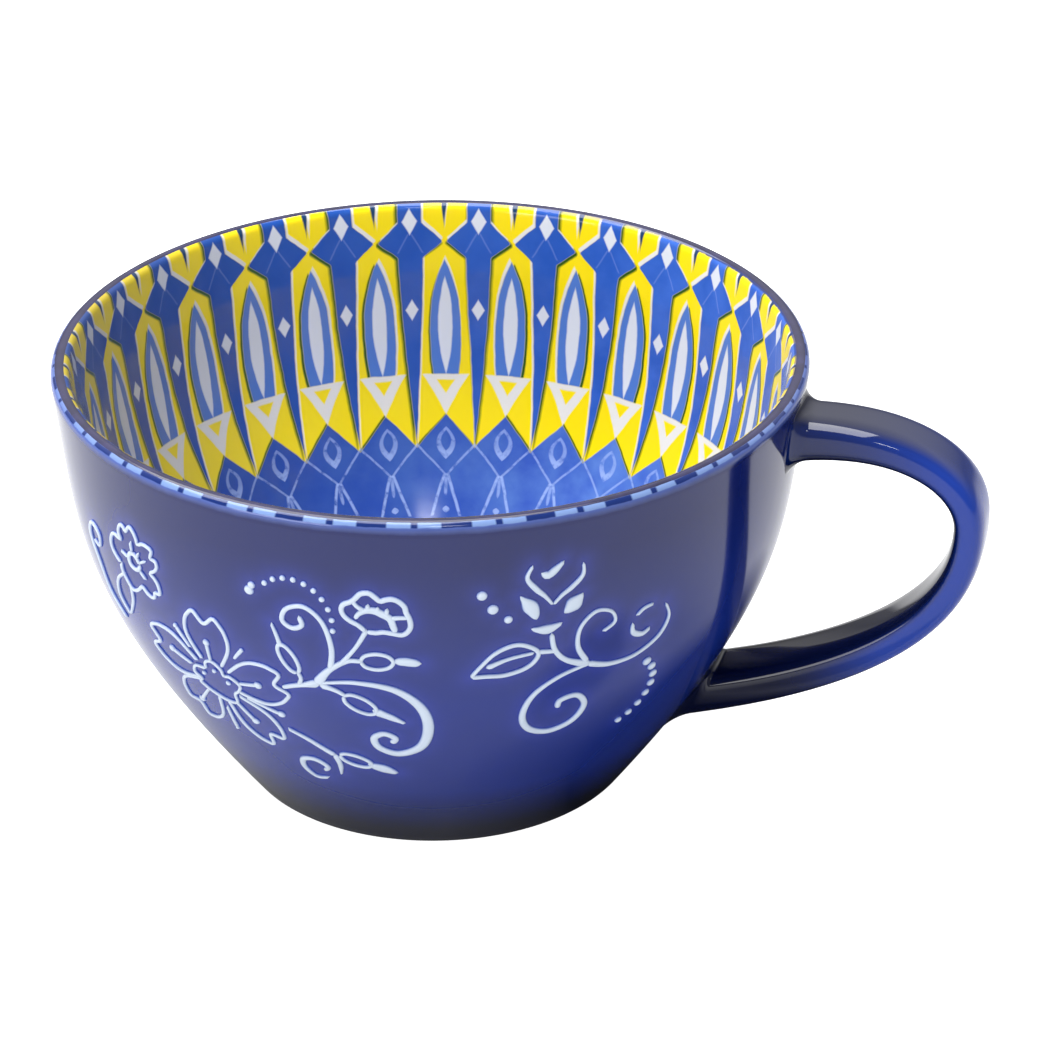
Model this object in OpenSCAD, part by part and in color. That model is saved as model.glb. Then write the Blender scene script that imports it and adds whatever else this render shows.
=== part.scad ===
// Wide stoneware cup with a loop handle: bowl, lip, foot ring, handle and raised lines are one fired piece.
// The origin is on the bowl's axis where it stands, +Z up, with the handle along +X.

/* [Bowl] */
// Outer diameter at the rim
rim_d = 120; // [100:1:140]
// Height from the table to the top of the lip
cup_h = 72; // [60:1:90]
// Outer diameter of the bowl where it meets the table
foot_d = 64; // [52:1:76]
// Thickness of the bowl's wall
wall_t = 3.6; // [2.8:0.1:5]
// Thickness of the rounded lip
lip_t = 3; // [2:0.1:3.6]
// Height below the rim over which the wall thins to the lip
thin_h = 12; // [6:1:20]
// Height of the inner floor above the table
floor_h = 6.5; // [5:0.1:9]
// Radius of the hollow between the inner floor and the wall
hollow_r = 16; // [8:1:22]

/* [Foot ring] */
// Width of the flat ring that the cup stands on
ring_w = 4; // [2.5:0.1:6]
// Depth of the recess inside the ring
recess_h = 1.8; // [0.8:0.1:3]
// Rounding between the bowl and the ring
foot_round = 1.2; // [0.5:0.1:2]

/* [Handle] */
// How far the handle's back stands out past the rim
handle_out = 29.5; // [24:0.5:38]
// Width of the handle's band
handle_w = 11.6; // [9:0.1:15]
// Thickness of the band where it leaves the rim
top_t = 7.6; // [6:0.1:9]
// Thickness of the band at the back of the loop
back_t = 5; // [4:0.1:7]
// Thickness of the band where it meets the lower wall
low_t = 7.4; // [6:0.1:9]
// Depth of the upper root's middle below the rim
top_drop = 8.3; // [7.5:0.1:11]
// Depth of the back of the loop below the rim
back_drop = 20.8; // [17:0.1:25]
// Height of the lower root's middle above the table
low_h = 16.3; // [14:0.1:22]
// Radius of the fillets at both roots
root_r = 3; // [1.5:0.1:4]

/* [Raised ornament] */
// How far the raised lines stand out of the wall
line_h = 0.4; // [0.2:0.05:0.6]
// Width of the raised lines, as a share of the drawn one
line_scale = 1; // [0.8:0.1:1.3]
// Turn of the whole ornament round the bowl
ornament_turn = 0; // [-15:1:12]

/* [Hidden] */
$fn = 160;

rim_r = rim_d / 2;
foot_r = foot_d / 2;

// The bowl's outline leaves the foot steeply and ends nearly upright: shares of its width and height
low_pull = [0.985, 0.526];
high_pull = [0.894, 0.639];
lip_lean = atan2((1 - high_pull[0]) * (rim_r - foot_r), (1 - high_pull[1]) * cup_h);
lip_z = cup_h - lip_t / 2 * (1 + sin(lip_lean));
bowl_curve = [
    [foot_r, 0],
    [foot_r + low_pull[0] * (rim_r - foot_r), low_pull[1] * cup_h],
    [foot_r + high_pull[0] * (rim_r - foot_r), high_pull[1] * cup_h],
    [rim_r, lip_z]
];
// The wall gets thicker again towards the foot, from this share of the height down
heavy_from = 0.35;
heavy_gain = 1.5;
wall_steps = 36;
arc_steps = 8;

// Shares of the run from each root to the back of the loop that bend the handle's middle line
top_pulls = [0.61, 0.68];
low_pulls = [0.53, 0.55];
// Upward slope of the handle's middle line as it leaves the wall, at each root
top_rise = 9;
low_rise = 15;
// Length over which the handle's section turns to lie along the wall, at each root
top_turn = 10;
low_turn = 15;
// Depths of the handle's last two rings under the wall's surface
root_depths = [1.5, 0.4];
// Share of the fillet's radius that is left off where it would run out along the wall
fillet_cut = 0.1;
// Exponent of the rounded oblong section: 2 is an oval and higher is squarer
section_power = 3.4;
path_steps = 22;
section_steps = 24;

function mix(a, b, t) = a + (b - a) * t;
function smooth(t) = let (u = max(0, min(1, t))) u * u * (3 - 2 * u);
function bezier(p, t) = pow(1 - t, 3) * p[0] + 3 * pow(1 - t, 2) * t * p[1]
    + 3 * (1 - t) * t * t * p[2] + pow(t, 3) * p[3];
function bezier_way(p, t) = let (
        d = pow(1 - t, 2) * (p[1] - p[0]) + 2 * (1 - t) * t * (p[2] - p[1]) + t * t * (p[3] - p[2])
    ) d / norm(d);
// Points along an arc, without its first one
function arc(centre, r, from, to, steps) =
    [for (i = [1:steps]) let (a = mix(from, to, i / steps)) centre + r * [cos(a), sin(a)]];

// The bowl's outline, its inward normal and its wall, each at share t of the curve
function outline(t) = bezier(bowl_curve, t);
function inward(t) = let (w = bezier_way(bowl_curve, t)) [-w[1], w[0]];
function wall_at(z) = z > cup_h - thin_h
    ? mix(wall_t, lip_t, min(1, (z - cup_h + thin_h) / (thin_h - lip_t / 2)))
    : wall_t + heavy_gain * max(0, 1 - z / (heavy_from * cup_h));
function inset(t, extra) = let (p = outline(t)) p + inward(t) * (wall_at(p[1]) + extra);
// Share t at which a line offset from the outline reaches height z, by halving
function share_at(z, extra, inner, lo = 0, hi = 1, turns = 22) = let (mid = (lo + hi) / 2)
    turns == 0 ? mid
    : (inner ? inset(mid, extra) : outline(mid) + inward(mid) * extra)[1] < z
        ? share_at(z, extra, inner, mid, hi, turns - 1)
        : share_at(z, extra, inner, lo, mid, turns - 1);
function radius_at(z) = outline(share_at(z, 0, false))[0];
// Angle of the wall from the horizontal at height z
function slope_at(z) = let (w = bezier_way(bowl_curve, share_at(z, 0, false))) atan2(w[1], w[0]);

// Half section of the bowl: ring, outer wall, lip, inner wall, hollow and floor
foot_share = share_at(foot_round, foot_round, false);
foot_centre = [(outline(foot_share) + inward(foot_share) * foot_round)[0], foot_round];
foot_out = atan2(-inward(foot_share)[1], -inward(foot_share)[0]);
lip_centre = outline(1) + inward(1) * lip_t / 2;
lip_out = atan2(-inward(1)[1], -inward(1)[0]);
hollow_share = share_at(floor_h + hollow_r, hollow_r, true);
hollow_centre = [inset(hollow_share, hollow_r)[0], floor_h + hollow_r];
hollow_side = atan2(-inward(hollow_share)[1], -inward(hollow_share)[0]);
ring_in = foot_centre[0] - ring_w;
half_section = concat(
    [[0, recess_h], [ring_in - recess_h, recess_h], [ring_in, 0], [foot_centre[0], 0]],
    arc(foot_centre, foot_round, -90, foot_out, arc_steps / 2),
    [for (i = [1:wall_steps]) outline(mix(foot_share, 1, i / wall_steps))],
    arc(lip_centre, lip_t / 2, lip_out, lip_out + 180, arc_steps),
    [for (i = [wall_steps - 1:-1:0]) inset(mix(hollow_share, 1, i / wall_steps), 0)],
    arc(hollow_centre, hollow_r, hollow_side, -90, arc_steps),
    [[0, floor_h]]
);

// The handle's middle line in its own upright plane, from the upper root to the lower one
top_z = cup_h - top_drop;
back = [rim_r + handle_out - back_t / 2, cup_h - back_drop];
top_root = [radius_at(top_z), top_z];
low_root = [radius_at(low_h), low_h];
top_way = [cos(top_rise), sin(top_rise)];
low_way = [cos(low_rise), sin(low_rise)];
top_line = [
    top_root,
    top_root + top_way * top_pulls[0] * (back[0] - top_root[0]),
    back + [0, top_pulls[1] * (top_root[1] - back[1])],
    back
];
low_line = [
    back,
    back - [0, low_pulls[0] * (back[1] - low_root[1])],
    low_root + low_way * low_pulls[1] * (back[0] - low_root[0]),
    low_root
];
// Steps are closer at the roots, where the fillets are
top_shares = [for (i = [1:path_steps]) 1 - cos(90 * i / path_steps)];
low_shares = [for (i = [1:path_steps - 1]) sin(90 * i / path_steps)];
low_slant = sin(slope_at(low_h) - low_rise);
middle = concat(
    [for (d = root_depths) top_root - top_way * d],
    [for (t = top_shares) bezier(top_line, t)],
    [for (t = low_shares) bezier(low_line, t)],
    [for (i = [1:-1:0]) low_root - low_way * root_depths[i] / low_slant]
);
ways = concat(
    [top_way, top_way],
    [for (t = top_shares) bezier_way(top_line, t)],
    [for (t = low_shares) bezier_way(low_line, t)],
    [-low_way, -low_way]
);
last = len(middle) - 1;
// Length along the middle line from the first ring, and from the upper root's surface
function step_to(i) = i > last ? 0 : norm(middle[i] - middle[i - 1]);
steps_run = [for (i = 0, s = 0; i <= last; i = i + 1, s = s + step_to(i)) s];
runs = [for (s = steps_run) s - root_depths[0]];
back_run = runs[path_steps + 1];
low_run = runs[last] - root_depths[0] / low_slant;

// Fillet: how much the section grows at distance d from the wall
function fillet(d) = let (x = max(0, root_r - max(0, d) - fillet_cut * root_r))
    root_r - sqrt(root_r * root_r - x * x);
function thickness(s) = s < back_run
    ? mix(back_t, top_t, pow(1 - max(0, s) / back_run, 2))
    : mix(back_t, low_t, min(1, (s - back_run) / (low_run - back_run)));
// Angle that the section turns from square across the line to lie along the wall
function turn_at(i) = let (
        across = atan2(ways[i][0], -ways[i][1]),
        at_top = smooth(1 - runs[i] / top_turn),
        at_low = smooth(1 - (low_run - runs[i]) / low_turn),
        top_end = slope_at(top_z) - 90 - top_rise,
        low_end = slope_at(low_h) - 90 - low_rise
    ) at_top * top_end + at_low * low_end;
function power_sin(a) = sign(sin(a)) * pow(abs(sin(a)), 2 / section_power);
function power_cos(a) = sign(cos(a)) * pow(abs(cos(a)), 2 / section_power);
// One ring of the handle; near a root it also bends round the bowl, so that its end lies in the wall
function ring(i) = let (
        s = runs[i],
        turn = turn_at(i),
        out = atan2(ways[i][0], -ways[i][1]) + turn,
        grow = fillet(s) + fillet(low_run - s),
        half_t = thickness(s) / 2 / cos(turn) + grow,
        half_w = handle_w / 2 + grow,
        hug = max(smooth(1 - s / top_turn), smooth(1 - (low_run - s) / low_turn))
    ) [for (j = [0:section_steps - 1]) let (
        a = 360 * j / section_steps,
        y = half_w * power_sin(a),
        r = middle[i][0] + half_t * power_cos(a) * cos(out),
        z = middle[i][1] + half_t * power_cos(a) * sin(out)
    ) [mix(r, sqrt(r * r - y * y), hug), y, z]];

// The ornament's lines as they are drawn: each has its widths at the start, middle and end, and then the
// points that it passes, as the angle round the bowl from the handle and the height on a cup drawn_h tall
drawn_h = 72;
stems = [
    [0.9, 1, 1.9, [[-100, 39.3], [-97.2, 40.4], [-93.2, 41.6]]],
    [1.9, 1.1, 0.9, [[-93.8, 41.2], [-91.5, 44.4], [-88.3, 46.8], [-85.8, 47]]],
    [0.9, 0.75, 0.9, [[-89.5, 45.9], [-86.8, 49.5], [-84.9, 53]]],
    [1.6, 1, 0.75, [[-93.4, 41.4], [-90.8, 40.6], [-89, 39.5]]],
    [0.9, 0.75, 0.75, [[-96.9, 40.5], [-96.2, 42], [-96.6, 43.4]]],
    [1, 0.75, 0.5, [[-98.7, 47.6], [-99.2, 50], [-99.8, 52]]],
    [1.4, 1.75, 1.4, [[-81.2, 47.3], [-79.4, 47.3], [-77, 46.9]]],
    [2, 1.5, 0.6, [[-85.2, 36.9], [-82.8, 35.8], [-80, 34.3]]],
    [0.6, 1, 1.25, [[-101.6, 29.6], [-98.5, 28], [-96, 26.2], [-93.8, 24.6]]],
    [1.25, 1, 0.5, [[-93.9, 24.9], [-93.6, 22.3], [-94.1, 19.6]]],
    [1.5, 2.4, 1, [[-88, 23.3], [-85.3, 22.5], [-82.5, 21.4]]],
    [1.6, 1, 0.9, [[-50.4, 43], [-54.6, 44.9], [-56.7, 47.4], [-57.4, 50.6]]],
    [0.75, 0.9, 1, [[-56.2, 47.1], [-57.8, 47.3], [-59.5, 47.5]]]
];
scrolls = [
    [1.1, 0.85, 0.95, [
        [-91.1, 44.6], [-90.5, 49], [-91.6, 53.6], [-94.2, 56], [-97, 55.2], [-97.9, 53], [-96.4, 51.8],
        [-94.8, 52.6], [-95.2, 54.2]
    ]],
    [0.7, 1.9, 1.2, [
        [-93, 41.8], [-87.5, 42.6], [-81.5, 41.6], [-77.6, 38.2], [-76.3, 33.6], [-77.6, 28.9], [-81.6, 26.8],
        [-85, 28], [-85.7, 30.3], [-83.9, 31.6], [-82, 30.6], [-82.9, 29.3]
    ]],
    [0.5, 1.2, 0.95, [
        [-97.3, 18], [-100.2, 17.6], [-102, 19.7], [-101.2, 22], [-98.5, 22.5], [-96.5, 21], [-97.7, 19.8]
    ]],
    [1.2, 0.7, 0.5, [[-51, 43.3], [-47, 42], [-42.3, 42.2], [-38.2, 44.4], [-36.7, 47.6], [-37.7, 50.4]]],
    [1.1, 0.7, 0.6, [
        [-51, 43.6], [-52.9, 47], [-52.8, 50.6], [-50.5, 53], [-47.9, 52.4], [-47, 50.3], [-49, 48.9]
    ]],
    [0.7, 1.3, 1.1, [
        [-50.6, 43.3], [-55.5, 41.8], [-59.4, 38.8], [-60.8, 34.6], [-59.4, 31.2], [-55.5, 29.7],
        [-51.4, 31.1], [-49.9, 34.3], [-51.8, 36.9], [-54.6, 36.5], [-54.8, 34.8]
    ]],
    [0.6, 1.2, 0.6, [[-43.7, 48.8], [-43.4, 47], [-41.6, 46.1], [-40.2, 46.9]]],
    [0.6, 0.6, 0.6, [[-43.2, 50], [-41.9, 51], [-40.1, 51.3]]]
];
bloom = [
    [0.55, 1.05, 0.55, [[-60.6, 63.4], [-61.4, 61.3], [-60, 59.1], [-58.7, 57.7], [-57.4, 55.9]]],
    [0.55, 0.9, 0.55, [[-52.9, 62.4], [-52.9, 60.3], [-54.5, 58.5], [-56, 57.4], [-57.4, 55.9]]],
    [1.4, 1.4, 0.55, [[-59.3, 61.8], [-58.3, 61.3], [-57.2, 62.1], [-55.9, 63.4]]],
    [0.55, 2.55, 1.25, [[-62.4, 58.2], [-60.6, 55.7], [-59.8, 53.6]]],
    [1.25, 2.9, 1.85, [[-52.7, 56.9], [-54.1, 55.3], [-55.5, 53.9]]],
    [0.7, 1.85, 0.7, [[-60.6, 52], [-58.1, 51.5], [-55.8, 52.3]]]
];
// Flower seen from the side at the top of its stem
side_flower = [
    [0.9, 1, 0.9, [
        [-85, 52.7], [-86.1, 53.8], [-87.3, 54.5], [-88.2, 55.4], [-88.5, 56.5], [-88.1, 57.4],
        [-87.1, 57.9], [-86.4, 58.5], [-85.5, 59.5], [-84.3, 59.7], [-83.5, 59.1], [-82.7, 58.4],
        [-81.8, 58.7], [-80.9, 58.8], [-80, 58.4], [-79.2, 57.5], [-79, 56.5], [-78.6, 55.5],
        [-78.4, 54.5], [-78.5, 53.6], [-79.1, 52.7], [-79.9, 52.4], [-81, 52.6], [-82.4, 52.8],
        [-83.6, 52.6], [-85, 52.7]
    ]],
    [0.8, 1.45, 1.15, [
        [-86.5, 54.8], [-86.1, 55.7], [-85, 56.5], [-83.6, 56.6], [-82.4, 56], [-81.4, 55.3],
        [-81, 54.1], [-80.6, 52.7]
    ]],
    [0.8, 0.8, 1.05, [[-86.4, 58.5], [-86.6, 57.9], [-86, 57.1], [-85, 56.5]]],
    [0.8, 0.8, 1.05, [[-78.6, 55.5], [-80, 55.5], [-81.4, 55.3]]],
    [0.65, 0.8, 1.05, [[-84.5, 57.7], [-84.6, 56.6]]],
    [0.65, 0.8, 1.05, [[-83.1, 57.3], [-83.2, 56.4]]],
    [0.65, 0.8, 1.05, [[-81.7, 57.1], [-81.9, 55.9]]]
];
side_leaves = [
    [0.7, 0.7, 0.55, [[-130, 50.4], [-133, 48], [-134.2, 44.6], [-132.6, 41.4]]],
    [0.7, 0.7, 0.55, [[-129, 48.6], [-129.7, 45.4], [-132.4, 41.6]]],
    [0.55, 0.9, 0.55, [
        [-135.5, 39.2], [-138.6, 43], [-139.6, 48], [-141, 52.5], [-139.4, 55.2], [-136.9, 54.2],
        [-137.6, 51.8], [-139.6, 52.2]
    ]]
];
// Small flower seen from the front: its outline, the ring in the middle and short rays
small_flower = [
    [0.7, 0.7, 0.7, [
        [-130.5, 52.1], [-131.7, 52.9], [-132.5, 54.1], [-132.5, 55.3], [-131.9, 56.5],
        [-131, 57.1], [-129.2, 56.9], [-129.5, 58], [-129.2, 59.1], [-128.5, 59.8], [-127.8, 59.6],
        [-127.3, 59.1], [-126.8, 59.8], [-126.1, 60.4], [-125.3, 59.8], [-124.8, 58.8],
        [-124.6, 57.9], [-123.5, 58.4], [-122.4, 58.4], [-121.4, 58], [-121.9, 56.6],
        [-120.8, 56.3], [-120.7, 55.4], [-121.4, 54.4], [-122.5, 53.6], [-121.7, 52.9],
        [-121.1, 51.9], [-121.1, 50.3], [-122.3, 50.1], [-122.6, 49.2], [-123.3, 48.8],
        [-124.3, 49.1], [-125.4, 49.9], [-126.4, 49.1], [-127.5, 48.3], [-128.7, 48.1],
        [-129.8, 49.4], [-130.5, 50.7], [-130.5, 52.1]
    ]],
    [0.9, 0.9, 0.9, [
        [-125, 54], [-125.4, 53.1], [-126.4, 52.7], [-127.4, 53.1], [-127.7, 54], [-127.4, 55],
        [-126.4, 55.5], [-125.4, 55], [-125, 54]
    ]],
    [0.55, 0.55, 0.55, [[-126.5, 57.7], [-126.5, 55.7]]],
    [0.55, 0.55, 0.55, [[-124.8, 56.3], [-125.4, 55.1]]],
    [0.55, 0.55, 0.55, [[-123.3, 55.4], [-125, 54.4]]],
    [0.55, 0.55, 0.55, [[-129.8, 54.8], [-127.7, 54.2]]],
    [0.55, 0.55, 0.55, [[-123.9, 51.7], [-125.3, 53]]]
];
// Large flower seen from the front: each petal has its direction, reach and half width
petal_line = [0.75, 0.75, 0.75];
flower = [-113.2, 36.5];
flower_heart = 3.7;
petals = [[86.5, 13.3, 4.2], [14, 14, 4.2], [-54, 13.8, 4.2], [-136, 13.4, 4.2], [164, 14, 4.4]];
heart_line = [
    [0.65, 0.65, 0.65, [
        [-114.8, 38.4], [-114.5, 39.8], [-113, 40.5], [-111.5, 39.5], [-111.2, 38.2],
        [-109.9, 38.3], [-108.4, 37.1], [-109.1, 35.6], [-110.2, 34.6], [-110.5, 32.7],
        [-112, 32.3], [-113.8, 32.6], [-116.2, 33.5], [-117.7, 34.6], [-117, 35.5], [-118.2, 36.5],
        [-117.2, 38.1], [-114.8, 38.4]
    ]]
];
// Straight rays out of the large flower's heart: direction, start, end and the radius of the dot at its tip
ray_line = [0.6, 0.7, 0.85];
rays = [
    [88, 4, 7.8, 0.65], [12, 4.8, 8.8, 0.75], [-56.5, 4.5, 8.9, 0.75], [-136, 4.5, 10.2, 0.7], [161.5, 5, 9.4, 0.7],
    [50, 8.2, 11.2, 0.4], [-18, 5.5, 12, 0.75], [-96, 6, 11.2, 0.4], [124, 6.4, 10.6, 0.45]
];
// Almond-shaped outlines: two tips and half the width
leaves = [
    [[-86.2, 47], [-81.2, 47.2], 1.5], [[-89.6, 39.5], [-84.6, 36.5], 1.5], [[-96.6, 43], [-98.9, 48.2], 1.2],
    [[-93, 24.9], [-87.2, 23.2], 1.3]
];
large_leaf = [
    [0.7, 0.85, 0.85, [
        [-69.6, 43.9], [-68.3, 45.7], [-66, 48.2], [-63.2, 49.4], [-61, 48.9], [-59.3, 47.4],
        [-59.9, 45.7], [-61.6, 44.5], [-64.4, 43.8], [-67.3, 43.9], [-69.6, 43.9]
    ]],
    [1.1, 0.7, 0.6, [[-67.3, 45.5], [-65.1, 46.5], [-63, 47.1], [-59.9, 47.5]]]
];
// Dots: angle, height and radius
dots = concat(
    [for (i = [0:9]) let (a = 128 - i * 15) [-96.3 + 6.3 * cos(a), 53.2 + 7.5 * sin(a), 0.5]],
    [for (i = [0:7]) let (a = 52 - i * 17) [-43.5 + 7 * cos(a), 34 + 7.2 * sin(a), 0.85 - 0.03 * i]],
    [for (r = rays) concat(around(flower, r[2], r[0]), [r[3]])],
    [[-113.1, 38.5, 0.45], [-115.8, 37.1, 0.45], [-110.8, 36.8, 0.5]],
    [[-102.4, 58.2, 0.65], [-102.9, 57.2, 0.85], [-68, 59, 0.85], [-66.4, 56.4, 0.9], [-64.1, 54.3, 0.7]]
);
// The ornament is cut in two parts, each straight in from one angle: that angle, and the part's two ends
cuts = [[-105, -145, -74], [-55, -74, -30]];
cut_reach = rim_r + 10;
dot_sides = 12;
steps_between = 2;
// Lines that touch are merged by growing them this much
merge = 0.05;

// Catmull-Rom curve through the points p, at share t of the way from point i to the next
function curl(p, i, t) = let (
        a = p[max(0, i - 1)],
        b = p[i],
        c = p[i + 1],
        d = p[min(len(p) - 1, i + 2)],
        bend = 2 * a - 5 * b + 4 * c - d,
        twist = 3 * b - 3 * c + d - a
    ) b + ((c - a) * t + bend * t * t + twist * t * t * t) / 2;
function smooth_line(p) = concat(
    [for (i = [0:len(p) - 2]) for (k = [0:steps_between - 1]) curl(p, i, k / steps_between)],
    [p[len(p) - 1]]
);
function around(centre, r, a) = centre + r * [cos(a), sin(a)];
// Outline of a petal with a notched tip: shares of its length, and of its half width
petal_side = [[0, 0.45], [0.33, 0.87], [0.55, 1], [0.76, 0.92], [0.9, 0.74], [1, 0.45]];
petal_notch = [0.83, 0];
function petal(centre, p, heart) = let (
        back_side = [for (i = [len(petal_side) - 1:-1:0]) [petal_side[i][0], -petal_side[i][1]]],
        along = [cos(p[0]), sin(p[0])],
        across = [-sin(p[0]), cos(p[0])]
    ) [for (q = concat(petal_side, [petal_notch], back_side))
        centre + mix(heart, p[1], q[0]) * along + q[1] * p[2] * across];
function almond(leaf) = let (
        way = (leaf[1] - leaf[0]) / norm(leaf[1] - leaf[0])
    ) [for (a = [0:45:360]) mix(leaf[0], leaf[1], (1 - cos(a)) / 2) + leaf[2] * sin(a) * [-way[1], way[0]]];
function ray(r) = [around(flower, r[1], r[0]), around(flower, r[2], r[0])];
drawn_lines = concat(
    stems, scrolls, bloom, side_flower, side_leaves, small_flower, heart_line, large_leaf,
    [for (p = petals) concat(petal_line, [petal(flower, p, flower_heart)])],
    [for (r = rays) concat(ray_line, [ray(r)])],
    [for (leaf = leaves) concat(petal_line, [almond(leaf)])]
);

// A drawn point on the bowl, seen flat from outside at angle view: across and up
function drawn_z(q) = q[1] * cup_h / drawn_h;
function flat(q, view) = [radius_at(drawn_z(q)) * sin(q[0] - view), drawn_z(q)];
function width_at(line, t) = line_scale * (t < 0.5
    ? mix(line[0], line[1], smooth(2 * t))
    : mix(line[1], line[2], smooth(2 * t - 1)));
// Both sides of a line on the wall, as one closed outline in the flat view
function stroke(line, view) = let (
        p = smooth_line(line[3]),
        n = len(p) - 1,
        sides = [for (i = [0:n]) let (
                degree = radius_at(drawn_z(p[i])) * PI / 180,
                d = p[min(n, i + 1)] - p[max(0, i - 1)],
                way = [d[0] * degree, d[1]],
                half = width_at(line, i / n) / 2 / norm(way) * [-way[1] / degree, way[0]]
            ) [flat(p[i] - half, view), flat(p[i] + half, view)]]
    ) concat([for (q = sides) q[0]], [for (i = [n:-1:0]) sides[i][1]]);
function within(q, cut) = q[0] > cut[1] && q[0] <= cut[2];

// Half section of the thin skin that the ornament is cut out of, from in the wall to just over it
skin_low = 12;
skin_top = 6;
skin_steps = 12;
skin_seat = 1.3;
skin_from = share_at(skin_low, 0, false);
skin_to = share_at(cup_h - skin_top, 0, false);
skin_shares = [for (i = [0:skin_steps]) mix(skin_from, skin_to, i / skin_steps)];
skin_section = concat(
    [for (t = skin_shares) outline(t) - inward(t) * line_h],
    [for (i = [skin_steps:-1:0]) outline(skin_shares[i]) + inward(skin_shares[i]) * skin_seat]
);

module skin(rings) {
    n = len(rings[0]);
    m = len(rings);
    sides = [for (i = [0:m - 2]) for (j = [0:n - 1]) let (
            a = i * n + j,
            b = i * n + (j + 1) % n
        ) each [[a, b, a + n], [b, b + n, a + n]]];
    ends = [[for (j = [n - 1:-1:0]) j], [for (j = [0:n - 1]) (m - 1) * n + j]];
    polyhedron([for (r = rings) each r], concat(sides, ends), convexity = 6);
}

module bowl() {
    rotate_extrude() polygon(half_section);
}

module handle() {
    skin([for (i = [0:last]) ring(i)]);
}

// The lines and dots of one part, flat
module drawing(cut) {
    offset(delta = merge) {
        for (line = drawn_lines) if (within(line[3][0], cut)) polygon(stroke(line, cut[0]));
        for (dot = dots) if (within(dot, cut)) {
            translate(flat(dot, cut[0])) circle(dot[2] * line_scale, $fn = dot_sides);
        }
    }
}

module ornament() {
    intersection() {
        rotate_extrude() polygon(skin_section);
        for (cut = cuts) rotate([90, 0, cut[0] + 90]) linear_extrude(cut_reach) drawing(cut);
    }
}

module cup() {
    color([0.12, 0.16, 0.45]) union() {
        bowl();
        handle();
        rotate(ornament_turn) ornament();
    }
}

cup();
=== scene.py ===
import bpy
import numpy as np
from mathutils import Matrix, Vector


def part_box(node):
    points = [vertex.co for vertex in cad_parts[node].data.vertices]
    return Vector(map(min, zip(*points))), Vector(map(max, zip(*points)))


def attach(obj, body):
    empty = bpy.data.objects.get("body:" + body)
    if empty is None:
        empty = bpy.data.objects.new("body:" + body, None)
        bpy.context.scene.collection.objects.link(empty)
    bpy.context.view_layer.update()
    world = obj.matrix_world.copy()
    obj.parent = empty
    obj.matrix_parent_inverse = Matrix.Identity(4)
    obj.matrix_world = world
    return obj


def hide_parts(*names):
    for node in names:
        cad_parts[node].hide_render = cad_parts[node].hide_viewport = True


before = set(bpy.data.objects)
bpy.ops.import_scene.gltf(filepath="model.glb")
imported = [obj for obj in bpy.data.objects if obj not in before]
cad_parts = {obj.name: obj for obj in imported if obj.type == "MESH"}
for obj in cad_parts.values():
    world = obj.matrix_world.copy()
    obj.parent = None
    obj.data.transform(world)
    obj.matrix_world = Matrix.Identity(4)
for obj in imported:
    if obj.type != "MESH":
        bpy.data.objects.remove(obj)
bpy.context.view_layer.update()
mm = 0.001
lowCorner, highCorner = (np.array(corner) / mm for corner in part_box("cup"))
print("frame loaded:", np.round(highCorner - lowCorner, 1), "mm")


# A screen's colour, 0 to 255, as shares of light: s / 12.92 when dark, else ((s + 0.055) / 1.055) ^ 2.4
def paint(red, green, blue):
    share = np.array([red, green, blue]) / 255
    linear = np.where(share < 0.04045, share / 12.92, ((share + 0.055) / 1.055) ** 2.4)
    return (*[float(part) for part in linear], 1.0)


def ease(t):  # goes smoothly from 0 to 1 as 3 t^2 - 2 t^3
    t = np.clip(t, 0, 1)
    return t * t * (3 - 2 * t)


# Corner numbers of the quads between rings of points, and of a fan over each end round a last point
def ringFaces(rings, around):
    i, j = np.meshgrid(np.arange(rings - 1), np.arange(around), indexing="ij")
    k = (j + 1) % around
    low, high = i * around, (i + 1) * around
    quads = np.stack([low + j, high + j, high + k, low + k], axis=-1).reshape(-1, 4)
    j, end, total = np.arange(around), (rings - 1) * around, rings * around
    k = (j + 1) % around
    first = np.stack([j, k, np.full(around, total)], axis=-1)
    final = np.stack([end + k, end + j, np.full(around, total + 1)], axis=-1)
    return quads, np.concatenate([first, final])


# Fills a mesh from whole arrays, where uv holds a place for each corner, quads first
def makeMesh(name, points, quads, triangles, finish, uv=None):
    mesh = bpy.data.meshes.new(name)
    corners = np.concatenate([quads.ravel(), triangles.ravel()]).astype(np.int32)
    sizes = np.concatenate([np.full(len(quads), 4), np.full(len(triangles), 3)]).astype(np.int32)
    mesh.vertices.add(len(points))
    mesh.vertices.foreach_set("co", (points * mm).astype(np.float32).ravel())
    mesh.loops.add(len(corners))
    mesh.loops.foreach_set("vertex_index", corners)
    mesh.polygons.add(len(sizes))
    mesh.polygons.foreach_set("loop_start", np.concatenate([[0], np.cumsum(sizes)[:-1]]).astype(np.int32))
    mesh.update(calc_edges=True)
    mesh.validate()
    mesh.shade_smooth()
    if uv is not None:
        layer = mesh.uv_layers.new(name="OFBake")
        layer.data.foreach_set("uv", uv.astype(np.float32).ravel())
    for material in finish:
        mesh.materials.append(material)
    piece = bpy.data.objects.new(name, mesh)
    bpy.context.collection.objects.link(piece)
    return piece


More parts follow.
